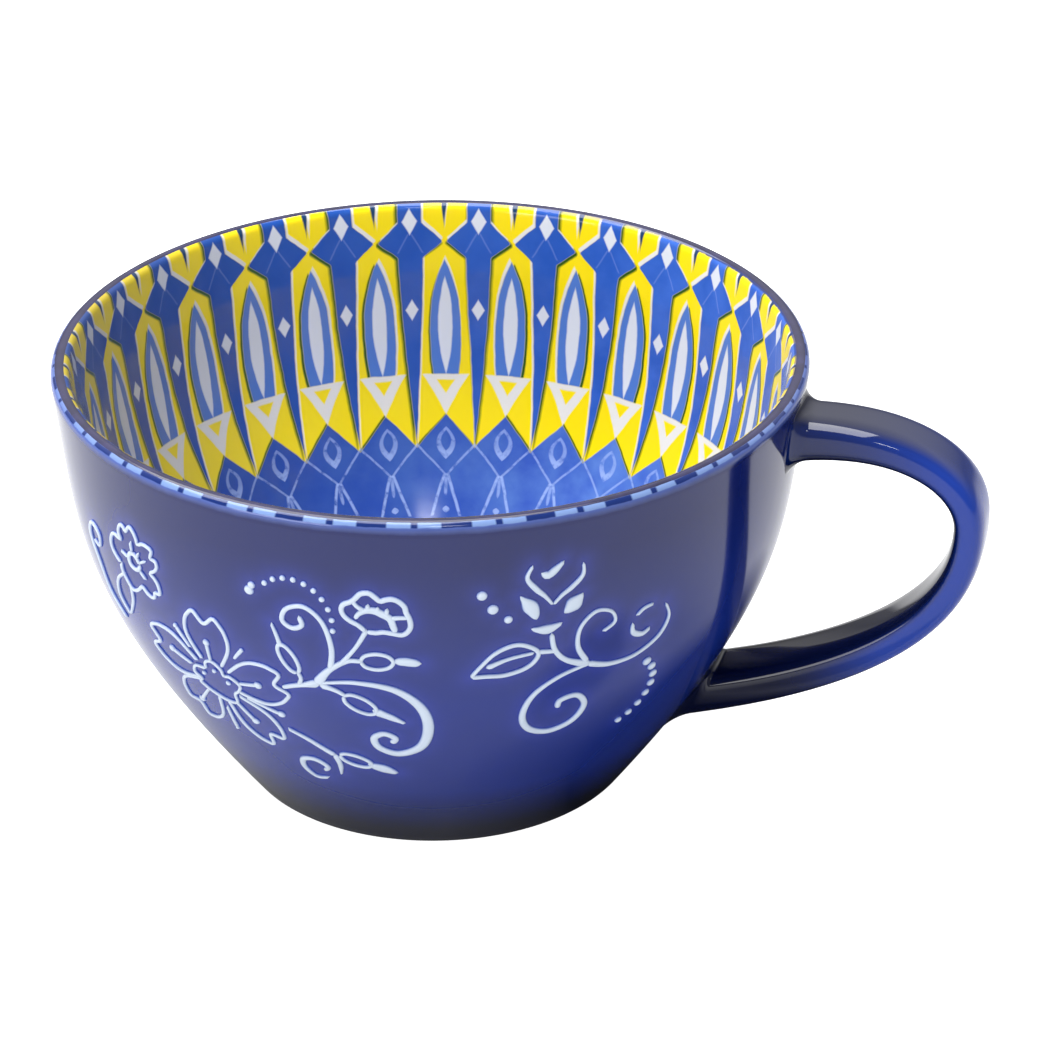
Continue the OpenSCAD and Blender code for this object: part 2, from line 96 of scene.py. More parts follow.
# The bowl: one half section turned round the axis
bowl = {
    "rim": -lowCorner[0], "height": highCorner[2], "foot": 32.0, "wall": 3.6, "lip": 3.0,
    "thinOver": 12.0, "floor": 6.5, "hollow": 16.0, "ringWidth": 4.0, "recess": 1.8, "footRound": 1.2,
    "recessEdge": 0.15,  # rounds the recess's corners
    "lowPull": (0.985, 0.526), "highPull": (0.894, 0.639),  # shares of the width and the height
    "heavyFrom": 0.35, "heavyGain": 1.5,  # the wall thickens towards the foot
    "wallRows": 84, "around": 432, "footSteps": 6, "lipSteps": 16, "hollowSteps": 14,
    "printStart": (67.0, 5.0),  # a height on the inner wall, and the print's run there
}


# Cubic curve between its ends p0 and p3, drawn towards p1 and p2
def bezier(p, t):
    t = t[:, None]
    return (1 - t) ** 3 * p[0] + 3 * (1 - t) ** 2 * t * p[1] + 3 * (1 - t) * t * t * p[2] + t ** 3 * p[3]


def unitRows(v):
    return v / np.linalg.norm(v, axis=-1, keepdims=True)


def bezierWay(p, t):  # the curve's direction, its derivative at length 1
    t = t[:, None]
    return unitRows((1 - t) ** 2 * (p[1] - p[0]) + 2 * (1 - t) * t * (p[2] - p[1]) + t * t * (p[3] - p[2]))


def bowlCurve(b):  # leaves the foot steeply and ends nearly upright
    wide = b["rim"] - b["foot"]
    (lowX, lowZ), (highX, highZ) = b["lowPull"], b["highPull"]
    lean = np.arctan2((1 - highX) * wide, (1 - highZ) * b["height"])
    top = b["height"] - b["lip"] / 2 * (1 + np.sin(lean))
    return np.array([
        [b["foot"], 0], [b["foot"] + lowX * wide, lowZ * b["height"]],
        [b["foot"] + highX * wide, highZ * b["height"]], [b["rim"], top],
    ])


curve = bowlCurve(bowl)
fine = np.linspace(0, 1, 4001)
outline = bezier(curve, fine)
way = bezierWay(curve, fine)
inward = np.stack([-way[:, 1], way[:, 0]], axis=1)
thinStart = bowl["height"] - bowl["thinOver"]
thinning = np.clip((outline[:, 1] - thinStart) / (bowl["thinOver"] - bowl["lip"] / 2), 0, 1)
thick = bowl["wall"] + (bowl["lip"] - bowl["wall"]) * thinning
thick = thick + bowl["heavyGain"] * np.clip(1 - outline[:, 1] / (bowl["heavyFrom"] * bowl["height"]), 0, 1)
inside = outline + inward * thick[:, None]


# A point of the outer wall, (r cos a, r sin a, z), where r is the wall's radius at that height,
# moved by lift along the wall's normal
def onWall(angle, height, lift=0.0):
    radius = np.interp(height, outline[:, 1], outline[:, 0])
    outX = -np.interp(height, outline[:, 1], inward[:, 0])
    outZ = -np.interp(height, outline[:, 1], inward[:, 1])
    turn = np.radians(angle)
    reach = radius + lift * outX
    return np.stack([reach * np.cos(turn), reach * np.sin(turn), height + lift * outZ], axis=-1)


def arcPoints(centre, radius, start, end, steps):  # without its two ends
    turn = np.radians(np.linspace(start, end, steps + 1)[1:-1])
    return np.asarray(centre) + radius * np.stack([np.cos(turn), np.sin(turn)], axis=1)


# Underside centre, foot ring, outer wall, lip, inner wall, hollow and floor centre, in one run
def halfSection(b):
    def facing(row):  # the way that the outer wall faces, in degrees
        return np.degrees(np.arctan2(-inward[row, 1], -inward[row, 0]))

    def along(line, t):
        return np.stack([np.interp(t, fine, line[:, 0]), np.interp(t, fine, line[:, 1])], axis=1)

    footLine = outline + inward * b["footRound"]
    footAt = np.argmin(np.abs(footLine[:, 1] - b["footRound"]))
    footCentre = footLine[footAt]
    ringIn = footCentre[0] - b["ringWidth"]
    lipCentre = outline[-1] + inward[-1] * b["lip"] / 2
    hollowLine = inside + inward * b["hollow"]
    hollowAt = np.argmin(np.abs(hollowLine[:, 1] - b["floor"] - b["hollow"]))
    rise = np.linspace(fine[footAt], 1, b["wallRows"])
    fall = np.linspace(1, fine[hollowAt], b["wallRows"])
    edge = b["recessEdge"]

    return np.concatenate([
        [[0, b["recess"]], [ringIn - b["recess"] - edge, b["recess"]],
         [ringIn - b["recess"] + edge, b["recess"] - edge], [ringIn - edge, edge],
         [ringIn + edge, 0], [footCentre[0], 0]],
        arcPoints(footCentre, b["footRound"], -90, facing(footAt), b["footSteps"]),
        along(outline, rise),
        arcPoints(lipCentre, b["lip"] / 2, facing(-1), facing(-1) + 180, b["lipSteps"]),
        along(inside, fall),
        arcPoints(hollowLine[hollowAt], b["hollow"], facing(hollowAt), -90, b["hollowSteps"]),
        [[hollowLine[hollowAt, 0], b["floor"]], [hollowLine[hollowAt, 0] / 2, b["floor"]], [0, b["floor"]]],
    ])


section = halfSection(bowl)
lengths = np.concatenate([[0], np.cumsum(np.linalg.norm(np.diff(section, axis=0), axis=1))])
topRow = int(np.argmax(section[:, 1]))
knownAt, knownRun = bowl["printStart"]
printStart = lengths[topRow:][np.argmin(np.abs(section[topRow:, 1] - knownAt))] - knownRun
runRow = lengths - printStart  # length down the inner wall, negative over the lip and outside


# Radius and height at each row, turned round the axis: (r cos a, r sin a, z), with a pole at both ends
def turned(b, profile, run):
    turn = np.linspace(0, 2 * np.pi, b["around"], endpoint=False)
    rows = profile[1:-1]
    ring = np.stack([
        rows[:, :1] * np.cos(turn), rows[:, :1] * np.sin(turn), np.repeat(rows[:, 1:], b["around"], axis=1),
    ], axis=-1).reshape(-1, 3)
    points = np.concatenate([ring, [[0, 0, profile[0, 1]], [0, 0, profile[-1, 1]]]])
    n, m = len(rows), b["around"]
    quads, triangles = ringFaces(n, m)
    quads, triangles = quads[:, [0, 3, 2, 1]], triangles[:, [1, 0, 2]]  # these rings run the other way
    across, up = np.linspace(0, 1, m + 1), (run - run[0]) / (run[-1] - run[0])

    def fanUv(first, second, edge, pole):
        middle = (across[first] + across[second]) / 2
        corners = ((across[first], edge), (across[second], edge), (middle, pole))
        return np.stack([np.stack([x, np.full(m, up[row])], axis=-1) for x, row in corners], axis=1)

    i, j = np.meshgrid(np.arange(n - 1), np.arange(m), indexing="ij")
    quadUv = np.stack([
        np.stack([across[j + right], up[i + 1 + above]], axis=-1)
        for right, above in ((0, 0), (1, 0), (1, 1), (0, 1))
    ], axis=2)
    j = np.arange(m)
    fans = fanUv(j + 1, j, 1, 0), fanUv(j, j + 1, -2, -1)
    uv = np.concatenate([part.reshape(-1, 2) for part in (quadUv, *fans)])
    faceRow = np.concatenate([np.repeat(np.arange(n - 1) + 1, m), np.zeros(m), np.full(m, n)])
    vertexRun = np.concatenate([np.repeat(run[1:-1], m), [run[0], run[-1]]])
    return points, quads, triangles, uv, faceRow, vertexRun


# The handle: a rounded oblong section carried along two curves in the upright plane through the axis
handle = {
    "width": 11.6, "top": 7.6, "back": 5.0, "low": 7.4,  # the band's width and its thickness along the loop
    "topDrop": 8.3, "backDrop": 20.8, "lowHeight": 16.3,
    "topRise": 9.0, "lowRise": 15.0, "topPulls": (0.61, 0.68), "lowPulls": (0.53, 0.55),
    "topTurn": 10.0, "lowTurn": 15.0, "fillet": 3.0, "power": 3.4, "rows": 70, "around": 72,
    "filletReach": 0.9, "depths": (2.2, 1.2, 0.4),  # rings under the wall's surface
    # painted light and shade along the loop: bright at its back, dark at its roots
    "thinTop": (4, 30), "thinLow": (18, 24), "thinLowUnder": (12, 20),  # lengths from a root: start and reach
    "thinUpper": 0.75, "thinUnder": 0.25, "thinInner": (0.75, 0.6),
}


# Superellipse sections, |x / a| ^ n + |y / b| ^ n = 1, across the middle line, flared by a fillet
# and bent round the bowl at both roots
def handleRings(h):
    def wallSlope(z):  # in degrees from level
        rise, step = (np.interp(z, outline[:, 1], way[:, i]) for i in (1, 0))
        return np.degrees(np.arctan2(rise, step))

    def blunt(v):  # raises a sine or cosine to 2 / n and keeps its sign
        return np.sign(v) * np.abs(v) ** (2 / h["power"])

    def grown(d):  # quarter-round fillet of the given radius
        x = np.clip(h["filletReach"] * h["fillet"] - np.clip(d, 0, None), 0, None)
        return h["fillet"] - np.sqrt(h["fillet"] ** 2 - x * x)

    def thinFrom(length, name):  # comes in over a reach after a start
        start, reach = h[name]
        return ease((length - start) / reach)

    topZ = bowl["height"] - h["topDrop"]
    lowZ = h["lowHeight"]
    topRoot = np.array([np.interp(topZ, outline[:, 1], outline[:, 0]), topZ])
    lowRoot = np.array([np.interp(lowZ, outline[:, 1], outline[:, 0]), lowZ])
    back = np.array([highCorner[0] - h["back"] / 2, bowl["height"] - h["backDrop"]])
    topWay = np.array([np.cos(np.radians(h["topRise"])), np.sin(np.radians(h["topRise"]))])
    lowWay = np.array([np.cos(np.radians(h["lowRise"])), np.sin(np.radians(h["lowRise"]))])
    topLine = np.array([
        topRoot, topRoot + topWay * h["topPulls"][0] * (back[0] - topRoot[0]),
        back + [0, h["topPulls"][1] * (topRoot[1] - back[1])], back,
    ])
    lowLine = np.array([
        back, back - [0, h["lowPulls"][0] * (back[1] - lowRoot[1])],
        lowRoot + lowWay * h["lowPulls"][1] * (back[0] - lowRoot[0]), lowRoot,
    ])
    quarter = np.linspace(0, np.pi / 2, h["rows"] + 1)
    topShares, lowShares = 1 - np.cos(quarter[1:]), np.sin(quarter[1:-1])
    slant = np.sin(np.radians(wallSlope(lowZ) - h["lowRise"]))
    middle = np.concatenate([
        [topRoot - topWay * d for d in h["depths"]], bezier(topLine, topShares), bezier(lowLine, lowShares),
        [lowRoot - lowWay * d / slant for d in h["depths"][::-1]],
    ])
    ends = len(h["depths"])
    ways = np.concatenate([
        np.tile(topWay, (ends, 1)), bezierWay(topLine, topShares), bezierWay(lowLine, lowShares),
        np.tile(-lowWay, (ends, 1)),
    ])
    run = np.concatenate([[0], np.cumsum(np.linalg.norm(np.diff(middle, axis=0), axis=1))]) - h["depths"][0]
    backRun = run[ends + h["rows"] - 1]
    lowRun = run[-1] - h["depths"][0] / slant

    thickness = np.where(
        run < backRun,
        h["back"] + (h["top"] - h["back"]) * (1 - np.clip(run, 0, None) / backRun) ** 2,
        h["back"] + (h["low"] - h["back"]) * np.clip((run - backRun) / (lowRun - backRun), 0, 1))
    across = np.degrees(np.arctan2(ways[:, 0], -ways[:, 1]))
    nearTop, nearLow = ease(1 - run / h["topTurn"]), ease(1 - (lowRun - run) / h["lowTurn"])
    turn = nearTop * (wallSlope(topZ) - 90 - h["topRise"]) + nearLow * (wallSlope(lowZ) - 90 - h["lowRise"])
    out = np.radians(across + turn)[:, None]
    grow = grown(run) + grown(lowRun - run)
    halfT = (thickness / 2 / np.cos(np.radians(turn)) + grow)[:, None]
    halfW = (h["width"] / 2 + grow)[:, None]
    around = np.linspace(0, 2 * np.pi, h["around"], endpoint=False)
    y = halfW * blunt(np.sin(around))
    r = middle[:, :1] + halfT * blunt(np.cos(around)) * np.cos(out)
    z = middle[:, 1:] + halfT * blunt(np.cos(around)) * np.sin(out)
    hug = np.maximum(nearTop, nearLow)[:, None]

    # Painted light and shade on the loop: bright round the back, dark near both roots, less bright on upper
    # faces and on those that look at the bowl
    upward = ease(np.sin(out) * np.sign(np.cos(around)) * np.abs(np.cos(around)) ** 2)
    fromTop, fromLow = run[:, None], lowRun - run[:, None]
    thin = thinFrom(fromTop, "thinTop") * thinFrom(fromLow, "thinLow")
    thin = thin * (1 - h["thinUpper"] * upward)
    thin = thin + h["thinUnder"] * (1 - upward) * thinFrom(fromLow, "thinLowUnder")
    thin = thin * ease((blunt(np.cos(around)) + h["thinInner"][0]) / h["thinInner"][1])
    return np.stack([r + hug * (np.sqrt(r * r - y * y) - r), y, z], axis=-1), np.clip(thin, 0, 1)


# Closed skin over rings of the same number of points, with a fan over each end
def skinned(rings, flip=False):
    points = np.concatenate([rings.reshape(-1, 3), [rings[0].mean(axis=0), rings[-1].mean(axis=0)]])
    quads, triangles = ringFaces(*rings.shape[:2])
    if flip:
        quads, triangles = quads[:, ::-1], triangles[:, ::-1]
    return points, quads, triangles


# The ornament: each line has its widths at the start, middle and end, then the points it passes, as angle
# in degrees and height
# In the large flower each petal has its direction, reach and half width, and each ray its direction, start,
# end and tip
flower = {
    "centre": (-113.2, 36.5), "start": 3.7, "petalWidths": (0.75, 0.75, 0.75), "rayWidths": (0.6, 0.7, 0.85),
    "petals": [(86.5, 13.3, 4.2), (14, 14, 4.2), (-54, 13.8, 4.2), (-136, 13.4, 4.2), (164, 14, 4.4)],
    "side": [(0, 0.45), (0.33, 0.87), (0.55, 1), (0.76, 0.92), (0.9, 0.74), (1, 0.45)], "notch": 0.83,
    "rays": [(88, 4, 7.8, 0.65), (12, 4.8, 8.8, 0.75), (-56.5, 4.5, 8.9, 0.75), (-136, 4.5, 10.2, 0.7),
             (161.5, 5, 9.4, 0.7), (50, 8.2, 11.2, 0.4), (-18, 5.5, 12, 0.75), (-96, 6, 11.2, 0.4),
             (124, 6.4, 10.6, 0.45)],
}
heart = [
    (0.65, 0.65, 0.65, [
        (-114.8, 38.4), (-114.5, 39.8), (-113, 40.5), (-111.5, 39.5), (-111.2, 38.2), (-109.9, 38.3),
        (-108.4, 37.1), (-109.1, 35.6), (-110.2, 34.6), (-110.5, 32.7), (-112, 32.3), (-113.8, 32.6),
        (-116.2, 33.5), (-117.7, 34.6), (-117, 35.5), (-118.2, 36.5), (-117.2, 38.1), (-114.8, 38.4),
    ]),
]
smallFlower = [
    (0.7, 0.7, 0.7, [
        (-130.5, 52.1), (-131.7, 52.9), (-132.5, 54.1), (-132.5, 55.3), (-131.9, 56.5), (-131, 57.1),
        (-129.2, 56.9), (-129.5, 58), (-129.2, 59.1), (-128.5, 59.8), (-127.8, 59.6), (-127.3, 59.1),
        (-126.8, 59.8), (-126.1, 60.4), (-125.3, 59.8), (-124.8, 58.8), (-124.6, 57.9), (-123.5, 58.4),
        (-122.4, 58.4), (-121.4, 58), (-121.9, 56.6), (-120.8, 56.3), (-120.7, 55.4), (-121.4, 54.4),
        (-122.5, 53.6), (-121.7, 52.9), (-121.1, 51.9), (-121.1, 50.3), (-122.3, 50.1), (-122.6, 49.2),
        (-123.3, 48.8), (-124.3, 49.1), (-125.4, 49.9), (-126.4, 49.1), (-127.5, 48.3), (-128.7, 48.1),
        (-129.8, 49.4), (-130.5, 50.7), (-130.5, 52.1),
    ]),
    (0.9, 0.9, 0.9, [
        (-125, 54), (-125.4, 53.1), (-126.4, 52.7), (-127.4, 53.1), (-127.7, 54), (-127.4, 55),
        (-126.4, 55.5), (-125.4, 55), (-125, 54),
    ]),
    (0.55, 0.55, 0.55, [(-126.5, 57.7), (-126.5, 55.7)]),
    (0.55, 0.55, 0.55, [(-124.8, 56.3), (-125.4, 55.1)]),
    (0.55, 0.55, 0.55, [(-123.3, 55.4), (-125, 54.4)]),
    (0.55, 0.55, 0.55, [(-129.8, 54.8), (-127.7, 54.2)]),
    (0.55, 0.55, 0.55, [(-123.9, 51.7), (-125.3, 53)]),
]
stems = [
    (0.9, 1, 1.9, [(-100, 39.3), (-97.2, 40.4), (-93.2, 41.6)]),
    (1.9, 1.1, 0.9, [(-93.8, 41.2), (-91.5, 44.4), (-88.3, 46.8), (-85.8, 47)]),
    (0.9, 0.75, 0.9, [(-89.5, 45.9), (-86.8, 49.5), (-84.9, 53)]),
    (1.6, 1, 0.75, [(-93.4, 41.4), (-90.8, 40.6), (-89, 39.5)]),
    (0.9, 0.75, 0.75, [(-96.9, 40.5), (-96.2, 42), (-96.6, 43.4)]),
    (1, 0.75, 0.5, [(-98.7, 47.6), (-99.2, 50), (-99.8, 52)]),
    (1.4, 1.75, 1.4, [(-81.2, 47.3), (-79.4, 47.3), (-77, 46.9)]),
    (2, 1.5, 0.6, [(-85.2, 36.9), (-82.8, 35.8), (-80, 34.3)]),
    (0.6, 1, 1.25, [(-101.6, 29.6), (-98.5, 28), (-96, 26.2), (-93.8, 24.6)]),
    (1.25, 1, 0.5, [(-93.9, 24.9), (-93.6, 22.3), (-94.1, 19.6)]),
    (1.5, 2.4, 1, [(-88, 23.3), (-85.3, 22.5), (-82.5, 21.4)]),
    (1.6, 1, 0.9, [(-50.4, 43), (-54.6, 44.9), (-56.7, 47.4), (-57.4, 50.6)]),
    (0.75, 0.9, 1, [(-56.2, 47.1), (-57.8, 47.3), (-59.5, 47.5)]),
]
scrolls = [
    (1.1, 0.85, 0.95, [
        (-91.1, 44.6), (-90.5, 49), (-91.6, 53.6), (-94.2, 56), (-97, 55.2), (-97.9, 53), (-96.4, 51.8),
        (-94.8, 52.6), (-95.2, 54.2),
    ]),
    (0.7, 1.9, 1.2, [
        (-93, 41.8), (-87.5, 42.6), (-81.5, 41.6), (-77.6, 38.2), (-76.3, 33.6), (-77.6, 28.9),
        (-81.6, 26.8), (-85, 28), (-85.7, 30.3), (-83.9, 31.6), (-82, 30.6), (-82.9, 29.3),
    ]),
    (0.5, 1.2, 0.95, [
        (-97.3, 18), (-100.2, 17.6), (-102, 19.7), (-101.2, 22), (-98.5, 22.5), (-96.5, 21), (-97.7, 19.8),
    ]),
    (1.2, 0.7, 0.5, [(-51, 43.3), (-47, 42), (-42.3, 42.2), (-38.2, 44.4), (-36.7, 47.6), (-37.7, 50.4)]),
    (1.1, 0.7, 0.6, [
        (-51, 43.6), (-52.9, 47), (-52.8, 50.6), (-50.5, 53), (-47.9, 52.4), (-47, 50.3), (-49, 48.9),
    ]),
    (0.7, 1.3, 1.1, [
        (-50.6, 43.3), (-55.5, 41.8), (-59.4, 38.8), (-60.8, 34.6), (-59.4, 31.2), (-55.5, 29.7),
        (-51.4, 31.1), (-49.9, 34.3), (-51.8, 36.9), (-54.6, 36.5), (-54.8, 34.8),
    ]),
    (0.6, 1.2, 0.6, [(-43.7, 48.8), (-43.4, 47), (-41.6, 46.1), (-40.2, 46.9)]),
    (0.5, 0.6, 0.5, [(-43.2, 50), (-41.9, 51), (-40.1, 51.3)]),
]
openBuds = [  # start, end and half width
    ((-86.2, 47), (-81.2, 47.2), 1.5), ((-89.6, 39.5), (-84.6, 36.5), 1.5),
    ((-96.6, 43), (-98.9, 48.2), 1.2), ((-93, 24.9), (-87.2, 23.2), 1.3),
]
largeLeaf = [
    (0.7, 0.85, 0.85, [
        (-69.6, 43.9), (-68.3, 45.7), (-66, 48.2), (-63.2, 49.4), (-61, 48.9), (-59.3, 47.4), (-59.9, 45.7),
        (-61.6, 44.5), (-64.4, 43.8), (-67.3, 43.9), (-69.6, 43.9),
    ]),
    (1.1, 0.7, 0.6, [(-67.3, 45.5), (-65.1, 46.5), (-63, 47.1), (-59.9, 47.5)]),
]
bloom = [
    (0.55, 1.05, 0.55, [(-60.6, 63.4), (-61.4, 61.3), (-60, 59.1), (-58.7, 57.7), (-57.4, 55.9)]),
    (0.55, 0.9, 0.55, [(-52.9, 62.4), (-52.9, 60.3), (-54.5, 58.5), (-56, 57.4), (-57.4, 55.9)]),
    (1.4, 1.4, 0.55, [(-59.3, 61.8), (-58.3, 61.3), (-57.2, 62.1), (-55.9, 63.4)]),
    (0.55, 2.55, 1.25, [(-62.4, 58.2), (-60.6, 55.7), (-59.8, 53.6)]),
    (1.25, 2.9, 1.85, [(-52.7, 56.9), (-54.1, 55.3), (-55.5, 53.9)]),
    (0.7, 1.85, 0.7, [(-60.6, 52), (-58.1, 51.5), (-55.8, 52.3)]),
]
sideFlower = [
    (0.9, 1, 0.9, [
        (-85, 52.7), (-86.1, 53.8), (-87.3, 54.5), (-88.2, 55.4), (-88.5, 56.5), (-88.1, 57.4),
        (-87.1, 57.9), (-86.4, 58.5), (-85.5, 59.5), (-84.3, 59.7), (-83.5, 59.1), (-82.7, 58.4),
        (-81.8, 58.7), (-80.9, 58.8), (-80, 58.4), (-79.2, 57.5), (-79, 56.5), (-78.6, 55.5), (-78.4, 54.5),
        (-78.5, 53.6), (-79.1, 52.7), (-79.9, 52.4), (-81, 52.6), (-82.4, 52.8), (-83.6, 52.6), (-85, 52.7),
    ]),
    (0.8, 1.45, 1.15, [
        (-86.5, 54.8), (-86.1, 55.7), (-85, 56.5), (-83.6, 56.6), (-82.4, 56), (-81.4, 55.3), (-81, 54.1),
        (-80.6, 52.7),
    ]),
    (0.8, 0.8, 1.05, [(-86.4, 58.5), (-86.6, 57.9), (-86, 57.1), (-85, 56.5)]),
    (0.8, 0.8, 1.05, [(-78.6, 55.5), (-80, 55.5), (-81.4, 55.3)]),
    (0.65, 0.8, 1.05, [(-84.5, 57.7), (-84.6, 56.6)]),
    (0.65, 0.8, 1.05, [(-83.1, 57.3), (-83.2, 56.4)]),
    (0.65, 0.8, 1.05, [(-81.7, 57.1), (-81.9, 55.9)]),
]
sideLeaves = [
    (0.7, 0.7, 0.55, [(-130, 50.4), (-133, 48), (-134.2, 44.6), (-132.6, 41.4)]),
    (0.7, 0.7, 0.55, [(-129, 48.6), (-129.7, 45.4), (-132.4, 41.6)]),
    (0.55, 0.9, 0.55, [
        (-135.5, 39.2), (-138.6, 43), (-139.6, 48), (-141, 52.5), (-139.4, 55.2), (-136.9, 54.2),
        (-137.6, 51.8), (-139.6, 52.2),
    ]),
]
dots = [  # angle, height and radius
    (-113.1, 38.5, 0.45), (-115.8, 37.1, 0.45), (-110.8, 36.8, 0.5), (-102.4, 58.2, 0.65),
    (-102.9, 57.2, 0.85), (-68, 59, 0.85), (-66.4, 56.4, 0.9), (-64.1, 54.3, 0.7),
]
# Arcs of dots: centre, half axes, angles from, to and step, first radius and its loss at each dot
dotRows = [
    ((-96.3, 53.2), (6.3, 7.5), (128, -22, -15), 0.5, 0.0),
    ((-43.5, 34.0), (7.0, 7.2), (52, -84, -17), 0.85, 0.03),
]
for (atAngle, atHeight), (wide, tall), angles, firstRadius, loss in dotRows:
    dots += [(atAngle + wide * np.cos(a), atHeight + tall * np.sin(a), firstRadius - loss * i)
             for i, a in enumerate(np.radians(np.arange(*angles)))]
ornament = {
    "rise": 0.42, "sunk": 0.25,  # height over the wall and depth in it
    "step": 0.35, "around": 10, "curveSteps": 24, "fewest": 6, "thinnest": 0.02,
    "dotTilts": (-60, 88, 8), "dotAround": 14, "dotRise": 1.1,
}


# Closed outline with a notched tip: shares of the reach along its direction and of the half width across
def petal(f, way, reach, halfW):
    shape = f["side"] + [(f["notch"], 0)] + [(x, -w) for x, w in f["side"][::-1]]
    x = f["start"] + (reach - f["start"]) * np.array([p[0] for p in shape])
    w = halfW * np.array([p[1] for p in shape])
    a = np.radians(way)
    return np.stack([
        f["centre"][0] + x * np.cos(a) - w * np.sin(a), f["centre"][1] + x * np.sin(a) + w * np.cos(a),
    ], axis=1)


# Closed outline with two rounded ends: (1 - cos a) / 2 of the way along, and half width times sin a across
def almond(start, end, halfW):
    start, end = np.array(start, float), np.array(end, float)
    turn = np.radians(np.arange(0, 361, 45))[:, None]
    lead = (end - start) / np.linalg.norm(end - start)
    side = np.array([-lead[1], lead[0]])
    return start + (end - start) * (1 - np.cos(turn)) / 2 + halfW * side * np.sin(turn)


def pointFrom(centre, way, reach):
    a = np.radians(way)
    return centre[0] + reach * np.cos(a), centre[1] + reach * np.sin(a)


# Catmull-Rom curve, a cubic through each pair of points led by its neighbours, sampled evenly
def smoothLine(p):
    p = np.asarray(p, float)
    before = np.concatenate([p[:1], p[:-2]]) if len(p) > 2 else p[:1]
    a, b, c, d = before, p[:-1], p[1:], np.concatenate([p[2:], p[-1:]])
    t = np.linspace(0, 1, ornament["curveSteps"], endpoint=False)[None, :, None]
    a, b, c, d = (v[:, None, :] for v in (a, b, c, d))
    many = (2 * b + (c - a) * t + (2 * a - 5 * b + 4 * c - d) * t * t + (3 * b - 3 * c + d - a) * t ** 3) / 2
    many = np.concatenate([many.reshape(-1, 2), p[-1:]])
    real = onWall(many[:, 0], many[:, 1])
    run = np.concatenate([[0], np.cumsum(np.linalg.norm(np.diff(real, axis=0), axis=1))])
    even = np.linspace(0, run[-1], max(ornament["fewest"], int(run[-1] / ornament["step"])))
    return np.stack([np.interp(even, run, many[:, 0]), np.interp(even, run, many[:, 1])], axis=1)


allLines = stems + scrolls + bloom + sideFlower + sideLeaves + heart + smallFlower + largeLeaf
allLines += [(*flower["petalWidths"], petal(flower, *p)) for p in flower["petals"]]
allLines += [(*flower["rayWidths"], [pointFrom(flower["centre"], w, a), pointFrom(flower["centre"], w, b)])
             for w, a, b, _ in flower["rays"]]
allLines += [(*flower["petalWidths"], almond(*b)) for b in openBuds]
dots += [(*pointFrom(flower["centre"], w, b), tip) for w, _, b, tip in flower["rays"]]


# Half-round ridge along a line on the wall: half its width times (cos a, sin a) across the path,
# where the width follows the three given, and the ends close in
def ridge(line):
    path = smoothLine(line[3])
    t = np.linspace(0, 1, len(path))
    width = line[0] + (line[1] - line[0]) * ease(2 * t) + (line[2] - line[1]) * ease(2 * t - 1)
    gap = np.arange(len(path)) * ornament["step"]
    ends = np.sqrt(np.clip(np.minimum(gap, gap[::-1]) / (width / 2), ornament["thinnest"], 1))
    here = onWall(path[:, 0], path[:, 1])
    out = unitRows(onWall(path[:, 0], path[:, 1], 1.0) - here)
    side = unitRows(np.cross(out, np.gradient(here, axis=0)))
    a = np.linspace(0, 2 * np.pi, ornament["around"], endpoint=False)
    across = np.cos(a)[None, :, None] * (width * ends / 2)[:, None, None]
    crown = np.sin(a)
    height = np.where(crown > 0, crown * ornament["rise"], crown * ornament["sunk"])[None, :] * ends[:, None]
    rings = here[:, None] + side[:, None] * across + out[:, None] * height[..., None]
    return rings, np.tile(np.clip(crown, 0, 1), (len(path), 1)), here


# Dot on the wall, a flattened ball: radius times cos of the tilt across, and rise times its sin outwards
def dome(dot):
    angle, height, radius = dot
    here = onWall(np.array(angle), np.array(height))
    out = unitRows(onWall(np.array(angle), np.array(height), 1.0) - here)
    side = np.array([-np.sin(np.radians(angle)), np.cos(np.radians(angle)), 0])
    up = np.cross(out, side)
    tilt = np.radians(np.linspace(*ornament["dotTilts"]))[:, None, None]
    turn = np.linspace(0, 2 * np.pi, ornament["dotAround"], endpoint=False)[None, :, None]
    rise = out * ornament["rise"] * ornament["dotRise"]
    rings = here + radius * np.cos(tilt) * (np.cos(turn) * side + np.sin(turn) * up) + rise * np.sin(tilt)
    return rings, np.clip(np.sin(tilt[..., 0]), 0, 1) * np.ones((1, ornament["dotAround"])), here[None]


# Many closed skins as one set of arrays, each as rings, crown and trace
def joined(parts):
    points, quads, triangles, crowns, start = [], [], [], [], 0
    for rings, crown, trace in parts:
        p, q, t = skinned(rings, flip=True)
        points.append(p)
        quads.append(q + start)
        triangles.append(t + start)
        crowns.append(np.concatenate([crown.ravel(), [crown[0].max(), crown[-1].max()]]))
        start += len(p)
    return np.concatenate(points), np.concatenate(quads), np.concatenate(triangles), np.concatenate(crowns)


# Nodes
def feed(tree, value, socket):
    if isinstance(value, (int, float, tuple)):
        socket.default_value = value
    else:
        tree.links.new(value, socket)


def calc(tree, operation, *values):
    node = tree.nodes.new("ShaderNodeMath")
    node.operation = operation
    for value, socket in zip(values, node.inputs):
        feed(tree, value, socket)
    return node.outputs[0]


def over(tree, mask, under, top):  # under * (1 - mask) + top * mask
    node = tree.nodes.new("ShaderNodeMix")
    node.data_type = "RGBA"
    for value, index in ((mask, 0), (under, 6), (top, 7)):
        feed(tree, value, node.inputs[index])
    return node.outputs[2]


def ramp(tree, value, start, end):  # (value - start) / (end - start), kept between 0 and 1
    node = tree.nodes.new("ShaderNodeMapRange")
    feed(tree, value, node.inputs["Value"])
    feed(tree, start, node.inputs["From Min"])
    feed(tree, end, node.inputs["From Max"])
    return node.outputs["Result"]


